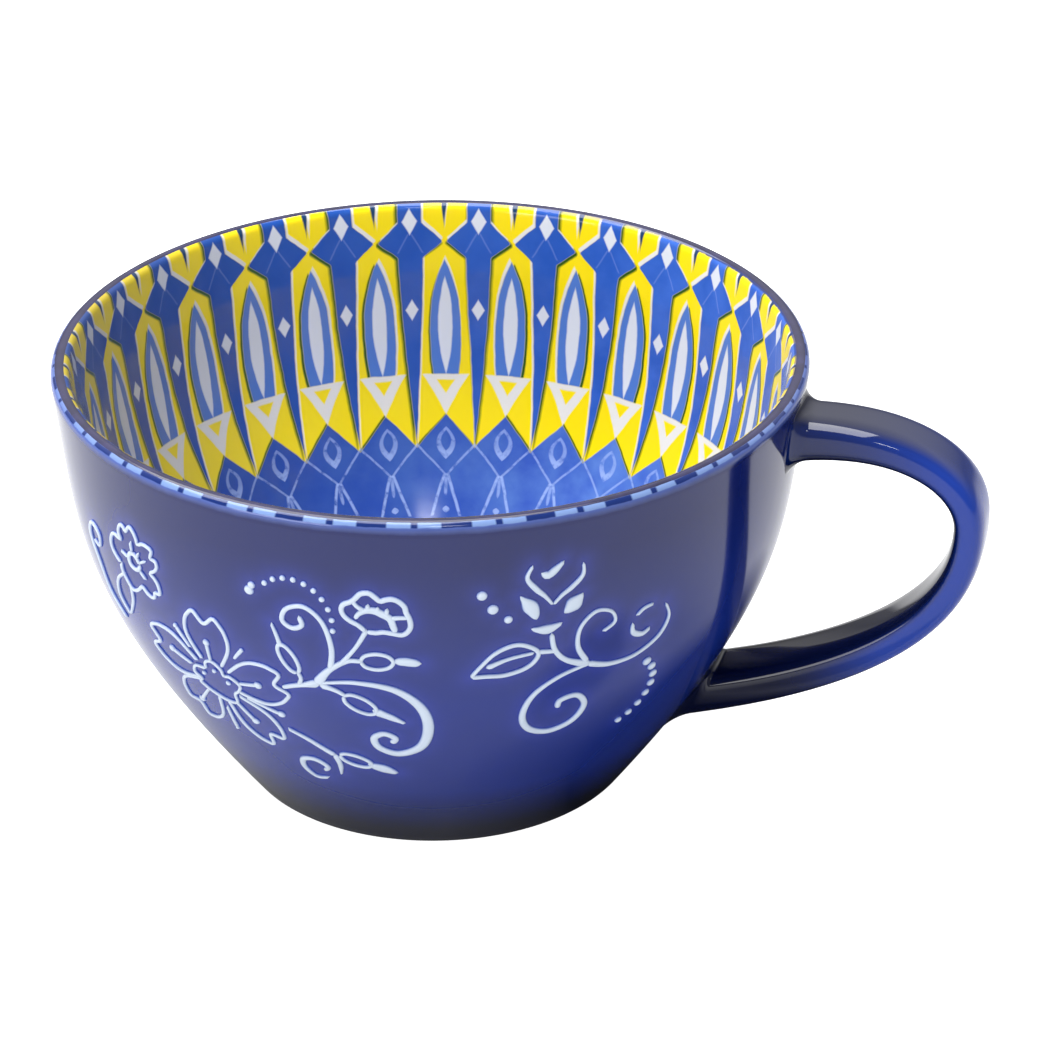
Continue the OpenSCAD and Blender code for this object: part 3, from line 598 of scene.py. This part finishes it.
def makeGroup(name, inputs, outputs):
    tree = bpy.data.node_groups.new(name, "ShaderNodeTree")
    for label in inputs:
        tree.interface.new_socket(name=label, in_out="INPUT", socket_type="NodeSocketFloat")
    for label in outputs:
        tree.interface.new_socket(name=label, in_out="OUTPUT", socket_type="NodeSocketFloat")
    return tree, tree.nodes.new("NodeGroupInput").outputs, tree.nodes.new("NodeGroupOutput").inputs


# Half width times (1 - |(run - middle) / half length| ^ power), less the distance across, with a soft edge
def shapeGroup():
    tree, given, result = makeGroup(
        "printShape", ["Across", "Run", "Middle", "Half Length", "Half Width", "Power", "Edge"], ["Mask"])
    along = calc(tree, "SUBTRACT", given["Run"], given["Middle"])
    share = calc(tree, "ABSOLUTE", calc(tree, "DIVIDE", along, given["Half Length"]))
    left = calc(tree, "SUBTRACT", 1.0, calc(tree, "POWER", share, given["Power"]))
    half = calc(tree, "MULTIPLY", given["Half Width"], left)
    room = calc(tree, "SUBTRACT", half, calc(tree, "ABSOLUTE", given["Across"]))
    soft = calc(tree, "ADD", calc(tree, "DIVIDE", room, given["Edge"]), 0.5)
    clamp = tree.nodes.new("ShaderNodeClamp")
    feed(tree, soft, clamp.inputs[0])
    tree.links.new(clamp.outputs[0], result["Mask"])
    return tree


# Soft patches: noise of a scale and a detail, stretched so that low becomes 0 and high becomes 1
def patchGroup():
    tree, given, result = makeGroup("softPatches", ["Scale", "Detail", "Low", "High"], ["Mask"])
    place = tree.nodes.new("ShaderNodeTexCoord")
    grain = tree.nodes.new("ShaderNodeTexNoise")
    tree.links.new(place.outputs["Object"], grain.inputs["Vector"])
    feed(tree, given["Scale"], grain.inputs["Scale"])
    feed(tree, given["Detail"], grain.inputs["Detail"])
    tree.links.new(ramp(tree, grain.outputs["Fac"], given["Low"], given["High"]), result["Mask"])
    return tree


printShape = shapeGroup()
softPatches = patchGroup()


def placeGroup(tree, group, values):
    node = tree.nodes.new("ShaderNodeGroup")
    node.node_tree = group
    for label, value in values.items():
        feed(tree, value, node.inputs[label])
    return node.outputs["Mask"]


def patches(tree, scale, detail=2.0, low=0.0, high=1.0):
    return placeGroup(tree, softPatches, {"Scale": scale, "Detail": detail, "Low": low, "High": high})


def newMaterial(name):
    material = bpy.data.materials.new(name)
    material.use_nodes = True
    return material, material.node_tree, material.node_tree.nodes["Principled BSDF"]


def coated(name, look, colourOf):  # coloured by the nodes that colourOf puts into its tree
    material, tree, shader = newMaterial(name)
    shader.inputs["Roughness"].default_value = look["roughness"]
    shader.inputs["IOR"].default_value = look["ior"]
    tree.links.new(colourOf(tree), shader.inputs["Base Color"])
    return material


def readAttribute(tree, name):
    node = tree.nodes.new("ShaderNodeAttribute")
    node.attribute_name = name
    return node.outputs["Fac"]


def coordinates(tree, kind="Object"):  # x, y and z, in metres or of a direction
    place, xyz = tree.nodes.new("ShaderNodeTexCoord"), tree.nodes.new("ShaderNodeSeparateXYZ")
    tree.links.new(place.outputs[kind], xyz.inputs[0])
    return xyz.outputs


# The glaze's foot colour is painted shade near the floor
glaze = {
    "deep": paint(12, 25, 88), "middle": paint(18, 42, 128), "foot": paint(6, 14, 44),
    "veil": paint(30, 44, 112), "veilShare": 0.3, "pooled": paint(44, 60, 168),
    "middleAt": (0.064, 0.038), "footAt": (0.016, 0.004),  # heights in metres between which a colour comes in
    "patches": (28, 2, 0.3, 0.75), "roughness": 0.09, "ior": 1.52,
}
lip = {
    "body": paint(32, 30, 60), "patch": paint(44, 42, 80), "patches": (240, 3, 0.35, 0.7),
    "roughness": 0.14, "ior": 1.42,
}
# The loop's dark colour is painted shade and its bright colour painted light
loopGlaze = {"thick": paint(5, 12, 44), "thin": paint(18, 54, 150), "roughness": 0.05, "ior": 1.52}
slip = {
    "edge": paint(84, 112, 198), "crown": paint(198, 211, 228), "crownAt": (0.05, 0.75),
    "roughness": 0.22, "ior": 1.5,
}
foot = {
    "dark": paint(205, 200, 192), "pale": paint(228, 224, 216), "grain": 900,
    "roughness": 0.85, "ior": 1.5,
}


def lipColour(tree):  # thin where it ran off the edge, so it shines less
    return over(tree, patches(tree, *lip["patches"]), lip["body"], lip["patch"])


def outsideColour(tree):  # deep under the lip, brighter below it, darker at the foot by painted shade, pooled beside the lines
    up = coordinates(tree)[2]
    base = over(tree, ramp(tree, up, *glaze["middleAt"]), glaze["deep"], glaze["middle"])
    veil = calc(tree, "MULTIPLY", patches(tree, *glaze["patches"]), glaze["veilShare"])
    base = over(tree, veil, base, glaze["veil"])
    # Painted shade: the wall darkens towards the foot, near the floor
    base = over(tree, ramp(tree, up, *glaze["footAt"]), base, glaze["foot"])
    return over(tree, readAttribute(tree, "halo"), base, glaze["pooled"])


def loopColour(tree):  # painted light, bluer round the back of the loop, and painted shade near its roots
    return over(tree, readAttribute(tree, "thin"), loopGlaze["thick"], loopGlaze["thin"])


def slipColour(tree):  # thin at the edges of a line, where the glaze runs off it
    crown = ramp(tree, readAttribute(tree, "crown"), *slip["crownAt"])
    return over(tree, crown, slip["edge"], slip["crown"])


def footColour(tree):
    return over(tree, patches(tree, foot["grain"]), foot["dark"], foot["pale"])


# The print: all widths across are in degrees from an axis, all lengths in mm down the inner wall
# A shape is its middle, half length, half width and bluntness, where 1 gives a diamond
# A side of the bowl is its angle and the cosines between which a tint comes in
band = {
    "roughness": 0.12, "ior": 1.5,
    "period": 12.0, "stemAt": 0.5, "edge": 0.28, "wander": 0.4, "wanderScales": (260, 330),
    "evenAt": 100.0, "evenWidth": 9.0,
    "dark": (0.52, 0.34), "pale": (-0.38, -0.6),  # how far the edge lines stand out, across and down
    "bothDark": 0.25, "darkEdge": 0.6, "notchLines": (0.7, 0.4),
    "stem": [(0, 2.05), (3.1, 2.05), (6.3, 5.55), (6.6, 5.5), (9.2, 2.25), (12, 2.1), (18, 1.88), (22, 1.62),
             (26, 1.33), (30, 1.1), (34, 0.75), (38, 0.38), (41.8, 0.0), (80, 0.0)],
    "fieldEnd": 42.6, "fieldEdge": 0.4, "zigzag": 5.65, "fade": 0.15,
    # The tinted side, and its shares on the floor and stems, are painted shade
    "clouds": (150, 5, 0.36, 0.66), "shadedSide": (155.0, 0.0, 0.95), "floorShadeShare": 0.8, "stemShadeShare": 0.75,
    "dullSide": (-166.0, 0.45, 1.0), "dullness": 0.5,
    "notch": (0.0, 3.5, 0.5, 1.0), "headDiamond": (2.9, 2.27, 1.33, 1.0),
    "stemDiamond": (18.6, 1.85, 1.18, 1.0),
    "roofAt": 4.6, "roofLean": 0.6, "roofHalf": 0.14, "roofEnds": (5.0, 8.4), "roofShare": 0.2,
    "lancet": (23.3, 13.7, 2.8, 2.5), "lancetEnd": 30.0, "core": (21.3, 8.6, 1.28, 2.2),
    "triangle": (30.0, 7.0, 4.45, 0.88), "smallTriangle": (30.9, 2.5, 1.75, 1.0),
}
floorLines = {
    "eye": (41.9, 2.8, 1.95, 2.0), "pupil": (41.5, 1.8, 1.1, 2.0), "lowEye": (43.0, 0.6),
    "short": (49.4, 1.7, 0.35, 6.0), "dot": (53.4, 0.6, 0.8, 2.0),
    "meetStart": 41.6, "meet": 47.6, "leanIn": 1.1, "meetHalf": 0.3,
    "partStart": 47.3, "partEnd": 54.5, "leanOut": 0.42, "partHalf": 0.34, "partGap": 0.45,
    "breaks": (900, 3, 0.25, 0.5),
    "shares": {"eye": 0.5, "lowEye": 0.45, "meeting": 0.55, "parting": 0.7, "short": 0.55, "dot": 0.7},
}
lipBand = {  # runs over the lip, outwards from the print's upper edge
    "top": -0.45, "lobes": 1.0, "leastLap": 0.45, "mostLap": 0.5, "lobeEdge": 0.3,
    # The front side is where the lip's blocks get painted highlight
    "lobeSide": (40.0, 0.55, 0.95), "frontHighlightSide": (-80.0, 0.0, 0.8),
    "blocksTop": -1.8, "longDash": 2.15, "shortDash": 0.5, "blocksEnd": -2.2, "frontMore": -0.5,
    "lineEdge": 0.08, "endEdge": 0.16, "glazeTop": -3.35, "glazeEdge": 0.6, "printEnd": -4.2,
}
inks = {
    "yellow": paint(250, 222, 12), "cobalt": paint(18, 56, 96), "green": paint(44, 84, 14),
    # The darker stem and floor inks on these two lines are painted shade
    "stem": paint(44, 90, 184), "stemCloud": paint(60, 105, 198), "stemShaded": paint(8, 68, 154),
    "floor": paint(60, 94, 188), "cloud": paint(92, 130, 206), "floorShaded": paint(20, 64, 152),
    "lancet": paint(78, 120, 196), "white": paint(218, 221, 226), "cream": paint(228, 224, 215),
    "pale": paint(168, 190, 236), "dull": paint(34, 44, 66), "lap": paint(14, 36, 100),
    "rimTop": paint(38, 36, 66), "rimBlue": paint(80, 98, 164), "block": paint(116, 142, 192),
    "dash": paint(16, 40, 104),
}


# Half width at each run, as a curve through straight stretches
def profileCurve(tree, run, points):
    longest, widest = (max(point[i] for point in points) for i in (0, 1))
    node = tree.nodes.new("ShaderNodeFloatCurve")
    line = node.mapping.curves[0]
    for _ in range(len(points) - 2):
        line.points.new(0.5, 0.5)
    for knot, (at, half) in zip(line.points, points):
        knot.location = (at / longest, half / widest)
        knot.handle_type = "VECTOR"
    node.mapping.update()
    feed(tree, calc(tree, "DIVIDE", run, longest), node.inputs["Value"])
    return calc(tree, "MULTIPLY", node.outputs[0], widest)


# The layers of the inside, each laid over those before it, from the yellow field to the lip
def printColour(tree):
    xyz = coordinates(tree)
    half = band["period"] / 2

    def plus(a, b):
        return calc(tree, "ADD", a, b)

    def minus(a, b):
        return calc(tree, "SUBTRACT", a, b)

    def times(a, b):
        return calc(tree, "MULTIPLY", a, b)

    def size(a):
        return calc(tree, "ABSOLUTE", a)

    def uneven(value, scale):  # lets edges wander as a transfer's do
        return calc(tree, "MULTIPLY_ADD", minus(patches(tree, scale), 0.5), band["wander"], value)

    turn = times(calc(tree, "ARCTAN2", xyz[1], xyz[0]), 180 / np.pi)
    turn = uneven(turn, band["wanderScales"][0])
    run = uneven(readAttribute(tree, "run"), band["wanderScales"][1])

    def wrapped(axis):  # signed distance from the nearest repeat of an axis
        return calc(tree, "WRAP", minus(turn, axis), half, -half)

    def side(at, start, end):  # by the cosine of the angle from one side of the bowl
        return ramp(tree, calc(tree, "COSINE", calc(tree, "RADIANS", minus(turn, at))), start, end)

    def shape(across, form, down=None):
        middle, halfLength, halfWidth, power = form
        return placeGroup(tree, printShape, {
            "Across": across, "Run": run if down is None else minus(run, down), "Middle": middle,
            "Half Length": halfLength, "Half Width": halfWidth, "Power": power, "Edge": band["edge"],
        })

    def soft(room, edge=band["edge"]):
        return ramp(tree, room, -edge / 2, edge / 2)

    def below(at, edge=band["fade"]):
        return ramp(tree, run, at - edge, at + edge)

    def above(at, edge=band["fade"]):
        return minus(1.0, below(at, edge))

    def both(*masks):
        total = masks[0]
        for mask in masks[1:]:
            total = times(total, mask)
        return total

    def without(mask, other):
        return times(mask, minus(1.0, other))

    # Each blue shape has a dark line along one side and a pale one along the other, and they change sides
    # twice round
    onStem, onLancet = wrapped(band["stemAt"]), wrapped(band["stemAt"] + half)
    wave = calc(tree, "SINE", calc(tree, "RADIANS", minus(band["evenAt"], turn)))
    reach = float(np.sin(np.radians(band["evenWidth"])))
    sideways = calc(tree, "MULTIPLY_ADD", ramp(tree, wave, -reach, reach), 2.0, -1.0)
    darkAcross, paleAcross = (times(sideways, band[name][0]) for name in ("dark", "pale"))
    darkDown, paleDown = band["dark"][1], band["pale"][1]
    even = times(minus(1.0, size(sideways)), band["bothDark"])

    def stem(across, down, wider=0.0, edge=band["edge"]):
        width = profileCurve(tree, minus(run, down), band["stem"])
        return soft(minus(plus(width, wider), size(plus(onStem, across))), edge)

    def fieldOver(across):  # the yellow field ends in a zigzag
        fall = times(size(plus(onStem, across)), band["zigzag"] / half)
        return soft(minus(minus(band["fieldEnd"], run), fall), band["fieldEdge"])

    field, stemMask = fieldOver(0.0), stem(0.0, 0.0)
    # Painted shade: the floor and stems are darker on one side of the bowl, where its wall shades them
    cloudy, deep = patches(tree, *band["clouds"]), side(*band["shadedSide"])
    ground = over(tree, cloudy, inks["floor"], inks["cloud"])
    ground = over(tree, times(deep, band["floorShadeShare"]), ground, inks["floorShaded"])
    blue = over(tree, cloudy, inks["stem"], inks["stemCloud"])
    blue = over(tree, times(deep, band["stemShadeShare"]), blue, inks["stemShaded"])
    colour = over(tree, field, ground, inks["yellow"])

    def lay(mask, top):  # over all that is there so far
        nonlocal colour
        colour = over(tree, mask, colour, top)

    dark = stem(darkAcross, darkDown, even, band["darkEdge"])
    dark = calc(tree, "MAXIMUM", dark, minus(1.0, fieldOver(darkAcross)))
    lay(both(field, without(dark, stemMask)), inks["green"])
    lay(both(field, without(stem(paleAcross, paleDown), stemMask)), inks["cream"])
    lay(both(field, stemMask), blue)
    for across, share, ink in zip((paleAcross, darkAcross), band["notchLines"], ("cream", "cobalt")):
        lay(shape(plus(onLancet, times(across, share)), band["notch"]), inks[ink])

    # Diamonds in the heads and on the stems, with a faint roof line under the upper ones
    roof = minus(size(onStem), times(minus(run, band["roofAt"]), band["roofLean"]))
    roofStart, roofEnd = band["roofEnds"]
    roof = both(soft(minus(band["roofHalf"], size(roof))), below(roofStart), above(roofEnd))
    lay(times(roof, band["roofShare"]), inks["pale"])
    lay(shape(onStem, band["headDiamond"]), inks["white"])
    lay(shape(onStem, band["stemDiamond"]), inks["white"])

    # Lancets with a white core
    end = above(band["lancetEnd"])
    lancet = both(shape(onLancet, band["lancet"]), end)
    for across, down, ink in ((darkAcross, darkDown, "green"), (paleAcross, paleDown, "cream")):
        moved = both(shape(plus(onLancet, across), band["lancet"], down), end)
        lay(without(moved, lancet), inks[ink])
    lay(lancet, inks["lancet"])
    lay(shape(onLancet, band["core"]), inks["white"])

    # White triangle under each lancet, with a yellow one inside
    for name, ink in (("triangle", "cream"), ("smallTriangle", "yellow")):
        lay(both(shape(onLancet, band[name]), below(band[name][0])), inks[ink])

    # Thin lines on the floor: an eye, and lines that meet under it and part again
    f = floorLines
    eye = without(shape(onLancet, f["eye"]), shape(onLancet, f["pupil"]))
    leanIn = minus(size(onLancet), times(minus(f["meet"], run), f["leanIn"]))
    leanOut = minus(size(onLancet), plus(times(minus(run, f["meet"]), f["leanOut"]), f["partGap"]))
    meeting, parting = soft(minus(f["meetHalf"], size(leanIn))), soft(minus(f["partHalf"], size(leanOut)))
    lines = {
        "eye": eye,
        "lowEye": both(eye, below(*f["lowEye"])),
        "meeting": both(meeting, below(f["meetStart"]), above(f["meet"])),
        "parting": both(parting, below(f["partStart"]), above(f["partEnd"])),
        "short": shape(onLancet, f["short"]),
        "dot": shape(onLancet, f["dot"]),
    }
    broken = patches(tree, *f["breaks"])
    for name, mask in lines.items():
        lay(both(mask, broken, f["shares"][name]), inks["pale"])

    # The print is duller on the side away from the light
    lay(times(side(*band["dullSide"]), band["dullness"]), inks["dull"])

    # On one side the blue laps over the print's upper edge in lobes
    b = lipBand
    offLobe = times(minus(size(onLancet), half / 3), 3 / half)
    lap = plus(times(times(offLobe, offLobe), b["lobes"]), b["leastLap"])
    lap = calc(tree, "MINIMUM", lap, b["mostLap"])
    lobe = soft(minus(plus(b["top"], lap), run), b["lobeEdge"])
    lay(both(side(*b["lobeSide"]), lobe), inks["lap"])

    # The lip: a plain top, blocks on its outer edge, and a pale edge that fades into the outer glaze
    lay(above(b["top"], b["lineEdge"]), inks["rimTop"])
    # The blocks are paler on the front side, partly print and partly painted highlight, and the pale edge
    # reaches further down there
    frontHighlight, onBlocks = side(*b["frontHighlightSide"]), above(b["blocksTop"], b["lineEdge"])
    lay(onBlocks, over(tree, frontHighlight, inks["rimBlue"], inks["block"]))
    longDash = soft(minus(b["longDash"], size(onStem)))
    shortDash = soft(minus(b["shortDash"], size(onLancet)))
    lay(both(onBlocks, calc(tree, "MAXIMUM", longDash, shortDash)), inks["dash"])
    bandEnd = calc(tree, "MULTIPLY_ADD", frontHighlight, b["frontMore"], b["blocksEnd"])
    lay(soft(minus(bandEnd, run), b["endEdge"]), inks["rimBlue"])
    return over(tree, above(b["glazeTop"], b["glazeEdge"]), colour, glaze["deep"])


# Build the pieces
dressing = {
    "bareRow": 4,  # the flat of the foot ring, in rows of the half section
    "bleedFrom": -3, "bleedAbove": 8,  # the slip bleeds only outside the lip and above the foot
    "bleed": 0.5, "bleedReach": 1.7, "bleedFall": 1.4, "far": 99.0, "portions": 60,
}


def addValues(piece, name, values):
    attribute = piece.data.attributes.new(name, "FLOAT", "POINT")
    attribute.data.foreach_set("value", values.astype(np.float32))


def buildBowl():
    points, quads, triangles, uv, faceRow, vertexRun = turned(bowl, section, runRow)
    finish = [
        coated("outsideGlaze", glaze, outsideColour), coated("insidePrint", band, printColour),
        coated("bareFoot", foot, footColour), coated("lipGlaze", lip, lipColour),
    ]
    piece = makeMesh("bowlShell", points, quads, triangles, finish, uv)
    midRow = (runRow[:-1] + runRow[1:]) / 2
    slotOfRow = np.where(midRow > lipBand["printEnd"], 1, 0)
    slotOfRow[dressing["bareRow"]] = 2
    slotOfRow[(midRow > lipBand["blocksTop"]) & (midRow < lipBand["top"])] = 3
    piece.data.polygons.foreach_set("material_index", slotOfRow[faceRow.astype(int)].astype(np.int32))
    addValues(piece, "run", vertexRun)
    return piece, points, vertexRun


def buildLines():
    parts = [ridge(line) for line in allLines] + [dome(dot) for dot in dots]
    points, quads, triangles, crown = joined(parts)
    piece = makeMesh("raisedLines", points, quads, triangles, [coated("slipLine", slip, slipColour)])
    addValues(piece, "crown", crown)
    return piece, np.concatenate([part[2] for part in parts])


# The glaze beside the lines takes up slip: bleed * e ^ -((distance / reach) ^ fall)
def addHalo(piece, points, vertexRun, trace):
    d = dressing
    nearest = np.full(len(points), d["far"])
    outer = np.flatnonzero((vertexRun < d["bleedFrom"]) & (points[:, 2] > d["bleedAbove"]))
    for some in np.array_split(outer, d["portions"]):
        gaps = np.linalg.norm(points[some][:, None] - trace[None], axis=-1)
        nearest[some] = gaps.min(axis=1)
    addValues(piece, "halo", d["bleed"] * np.exp(-(nearest / d["bleedReach"]) ** d["bleedFall"]))


def buildLoop():
    rings, thin = handleRings(handle)
    points, quads, triangles = skinned(rings)
    piece = makeMesh("loopHandle", points, quads, triangles, [coated("handleGlaze", loopGlaze, loopColour)])
    addValues(piece, "thin", np.concatenate([thin.ravel(), [0, 0]]))
    return piece


body, bodyPoints, bodyRun = buildBowl()
raisedLines, lineTrace = buildLines()
addHalo(body, bodyPoints, bodyRun, lineTrace)
loop = buildLoop()
for piece in (body, raisedLines, loop):
    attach(piece, "root")
    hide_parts("cup")
    print("built", piece.name, len(piece.data.polygons), "faces")

# Floor, light and camera
studio = {
    "floorReach": 4000, "floor": 0.65, "whiteOut": 1.0, "backWay": 104.0, "dimEnd": -0.1, "brightStart": 0.6,
    "shownFront": 0.3, "shownBack": 1.25, "shownFrom": (0.12, 0.5),  # the sky as the glaze shows it
    "lightFront": 0.8, "lightBack": 0.4,  # the sky as it lights the scene
    # Painted shadows on the floor as the glaze shows it, right of the foot and under the handle
    # Each is x, y, half lengths, way in degrees and depth
    "shades": [(48, 8, 48, 24, 60, 0.9), (66, -48, 26, 13, 0, 0.5)],
    "shadeEdge": (1.25, 0.7),
}


# Pale floor that shows as plain white, with soft painted shadows, ellipses that only glossy rays see
def makeFloor():
    corners = np.array([[-1, -1, 0], [1, -1, 0], [1, 1, 0], [-1, 1, 0]], float) * studio["floorReach"]
    material, tree, shader = newMaterial("paleFloor")
    tree.nodes.remove(shader)
    matte = tree.nodes.new("ShaderNodeBsdfDiffuse")
    shine = tree.nodes.new("ShaderNodeEmission")
    rays = tree.nodes.new("ShaderNodeLightPath")
    xyz = coordinates(tree)
    shade = 0.0
    for x, y, along, across, way, depth in studio["shades"]:
        offX, offY = (calc(tree, "SUBTRACT", xyz[i], at * mm) for i, at in enumerate((x, y)))
        c, s = np.cos(np.radians(way)), np.sin(np.radians(way))
        squares = []
        for a, b, reach in ((c, s, along), (-s, c, across)):
            part = calc(tree, "ADD", calc(tree, "MULTIPLY", offX, a / reach / mm),
                        calc(tree, "MULTIPLY", offY, b / reach / mm))
            squares.append(calc(tree, "MULTIPLY", part, part))
        share = ramp(tree, calc(tree, "SQRT", calc(tree, "ADD", *squares)), *studio["shadeEdge"])
        shade = calc(tree, "MAXIMUM", shade, calc(tree, "MULTIPLY", share, depth))
    shade = calc(tree, "MULTIPLY", shade, rays.outputs["Is Glossy Ray"])
    pale, dark = ((studio["floor"] * part,) * 3 + (1,) for part in (1, 0))
    feed(tree, over(tree, shade, pale, dark), matte.inputs["Color"])
    white = calc(tree, "MULTIPLY", rays.outputs["Is Camera Ray"], studio["whiteOut"])
    feed(tree, white, shine.inputs["Strength"])
    add = tree.nodes.new("ShaderNodeAddShader")
    tree.links.new(matte.outputs[0], add.inputs[0])
    tree.links.new(shine.outputs[0], add.inputs[1])
    tree.links.new(add.outputs[0], tree.nodes["Material Output"].inputs["Surface"])
    quads, triangles = np.array([[0, 1, 2, 3]]), np.zeros((0, 3), int)
    makeMesh("paleFloor", corners, quads, triangles, [material])


# The direction's share along the backward way, from -1 in front of the cup to 1 behind it, sets the levels
def makeWorld(w):
    world = bpy.data.worlds.new("studioWorld")
    bpy.context.scene.world = world
    world.use_nodes = True
    tree = world.node_tree
    xyz = coordinates(tree, "Generated")
    turn = np.radians(w["backWay"])
    behind = calc(tree, "ADD", calc(tree, "MULTIPLY", xyz[0], float(np.cos(turn))),
                  calc(tree, "MULTIPLY", xyz[1], float(np.sin(turn))))
    bright = ramp(tree, behind, w["dimEnd"], w["brightStart"])
    high = calc(tree, "MULTIPLY", bright, ramp(tree, xyz[2], *w["shownFrom"]))
    shown = calc(tree, "MULTIPLY_ADD", high, w["shownBack"] - w["shownFront"], w["shownFront"])
    light = calc(tree, "MULTIPLY_ADD", ramp(tree, behind, -1.0, 1.0), w["lightBack"] - w["lightFront"],
                 w["lightFront"])
    rays = tree.nodes.new("ShaderNodeLightPath")

    def chosen(ray, under, top):
        node = tree.nodes.new("ShaderNodeMix")
        for value, socket in ((rays.outputs[ray], 0), (under, 2), (top, 3)):
            feed(tree, value, node.inputs[socket])
        return node.outputs[0]

    level = chosen("Is Camera Ray", chosen("Is Glossy Ray", light, shown), 1.0)
    tree.links.new(level, tree.nodes["Background"].inputs["Strength"])
    tree.nodes["Background"].inputs["Color"].default_value = (1, 1, 1, 1)


lamps = [  # name, place, what it looks at, size, power
    ("topBox", (-240, 30, 880), (0, 0, 40), (850, 850), 15.5),
    ("frontBox", (-260, -520, 160), (0, 0, 10), (300, 160), 0.6),
    ("highBox", (210, -620, 690), (85, 0, 55), (130, 75), 0.45),
]


def makeLamps():
    for name, place, target, size, power in lamps:
        light = bpy.data.lights.new(name, "AREA")
        light.shape = "RECTANGLE"
        light.size, light.size_y = size[0] * mm, size[1] * mm
        light.energy = power
        lamp = bpy.data.objects.new(name, light)
        lamp.matrix_world = aimed(np.array(place, float), np.array(target, float), 0.0)
        bpy.context.collection.objects.link(lamp)


# Matrix of a thing at place whose -Z looks at the target, rolled by degrees about its view
def aimed(place, target, roll):
    forward = unitRows(target - place)
    right = unitRows(np.cross(forward, [0, 0, 1]))
    up = np.cross(right, forward)
    a = np.radians(roll)
    side, top = right * np.cos(a) + up * np.sin(a), up * np.cos(a) - right * np.sin(a)
    matrix = np.eye(4)
    matrix[:3, 0], matrix[:3, 1], matrix[:3, 2], matrix[:3, 3] = side, top, -forward, place * mm
    return Matrix(matrix.tolist())


view = {
    "azimuth": -76.0, "elevation": 27.7155, "distance": 672.95, "target": (13.486, 3.362, 40.98),
    "lens": 144.06, "sensor": 36, "roll": -0.602,
}


def makeCamera(v):
    camera = bpy.data.cameras.new("camera")
    camera.lens = v["lens"]
    camera.sensor_width = v["sensor"]
    turn, lift = np.radians(v["azimuth"]), np.radians(v["elevation"])
    target = np.array(v["target"])
    back = np.array([np.cos(lift) * np.cos(turn), np.cos(lift) * np.sin(turn), np.sin(lift)])
    place = target + v["distance"] * back
    holder = bpy.data.objects.new("camera", camera)
    holder.matrix_world = aimed(place, target, v["roll"])
    bpy.context.collection.objects.link(holder)
    bpy.context.scene.camera = holder


makeFloor()
makeWorld(studio)
makeLamps()
makeCamera(view)
bpy.context.scene.view_settings.view_transform = "Standard"
print("studio ready")
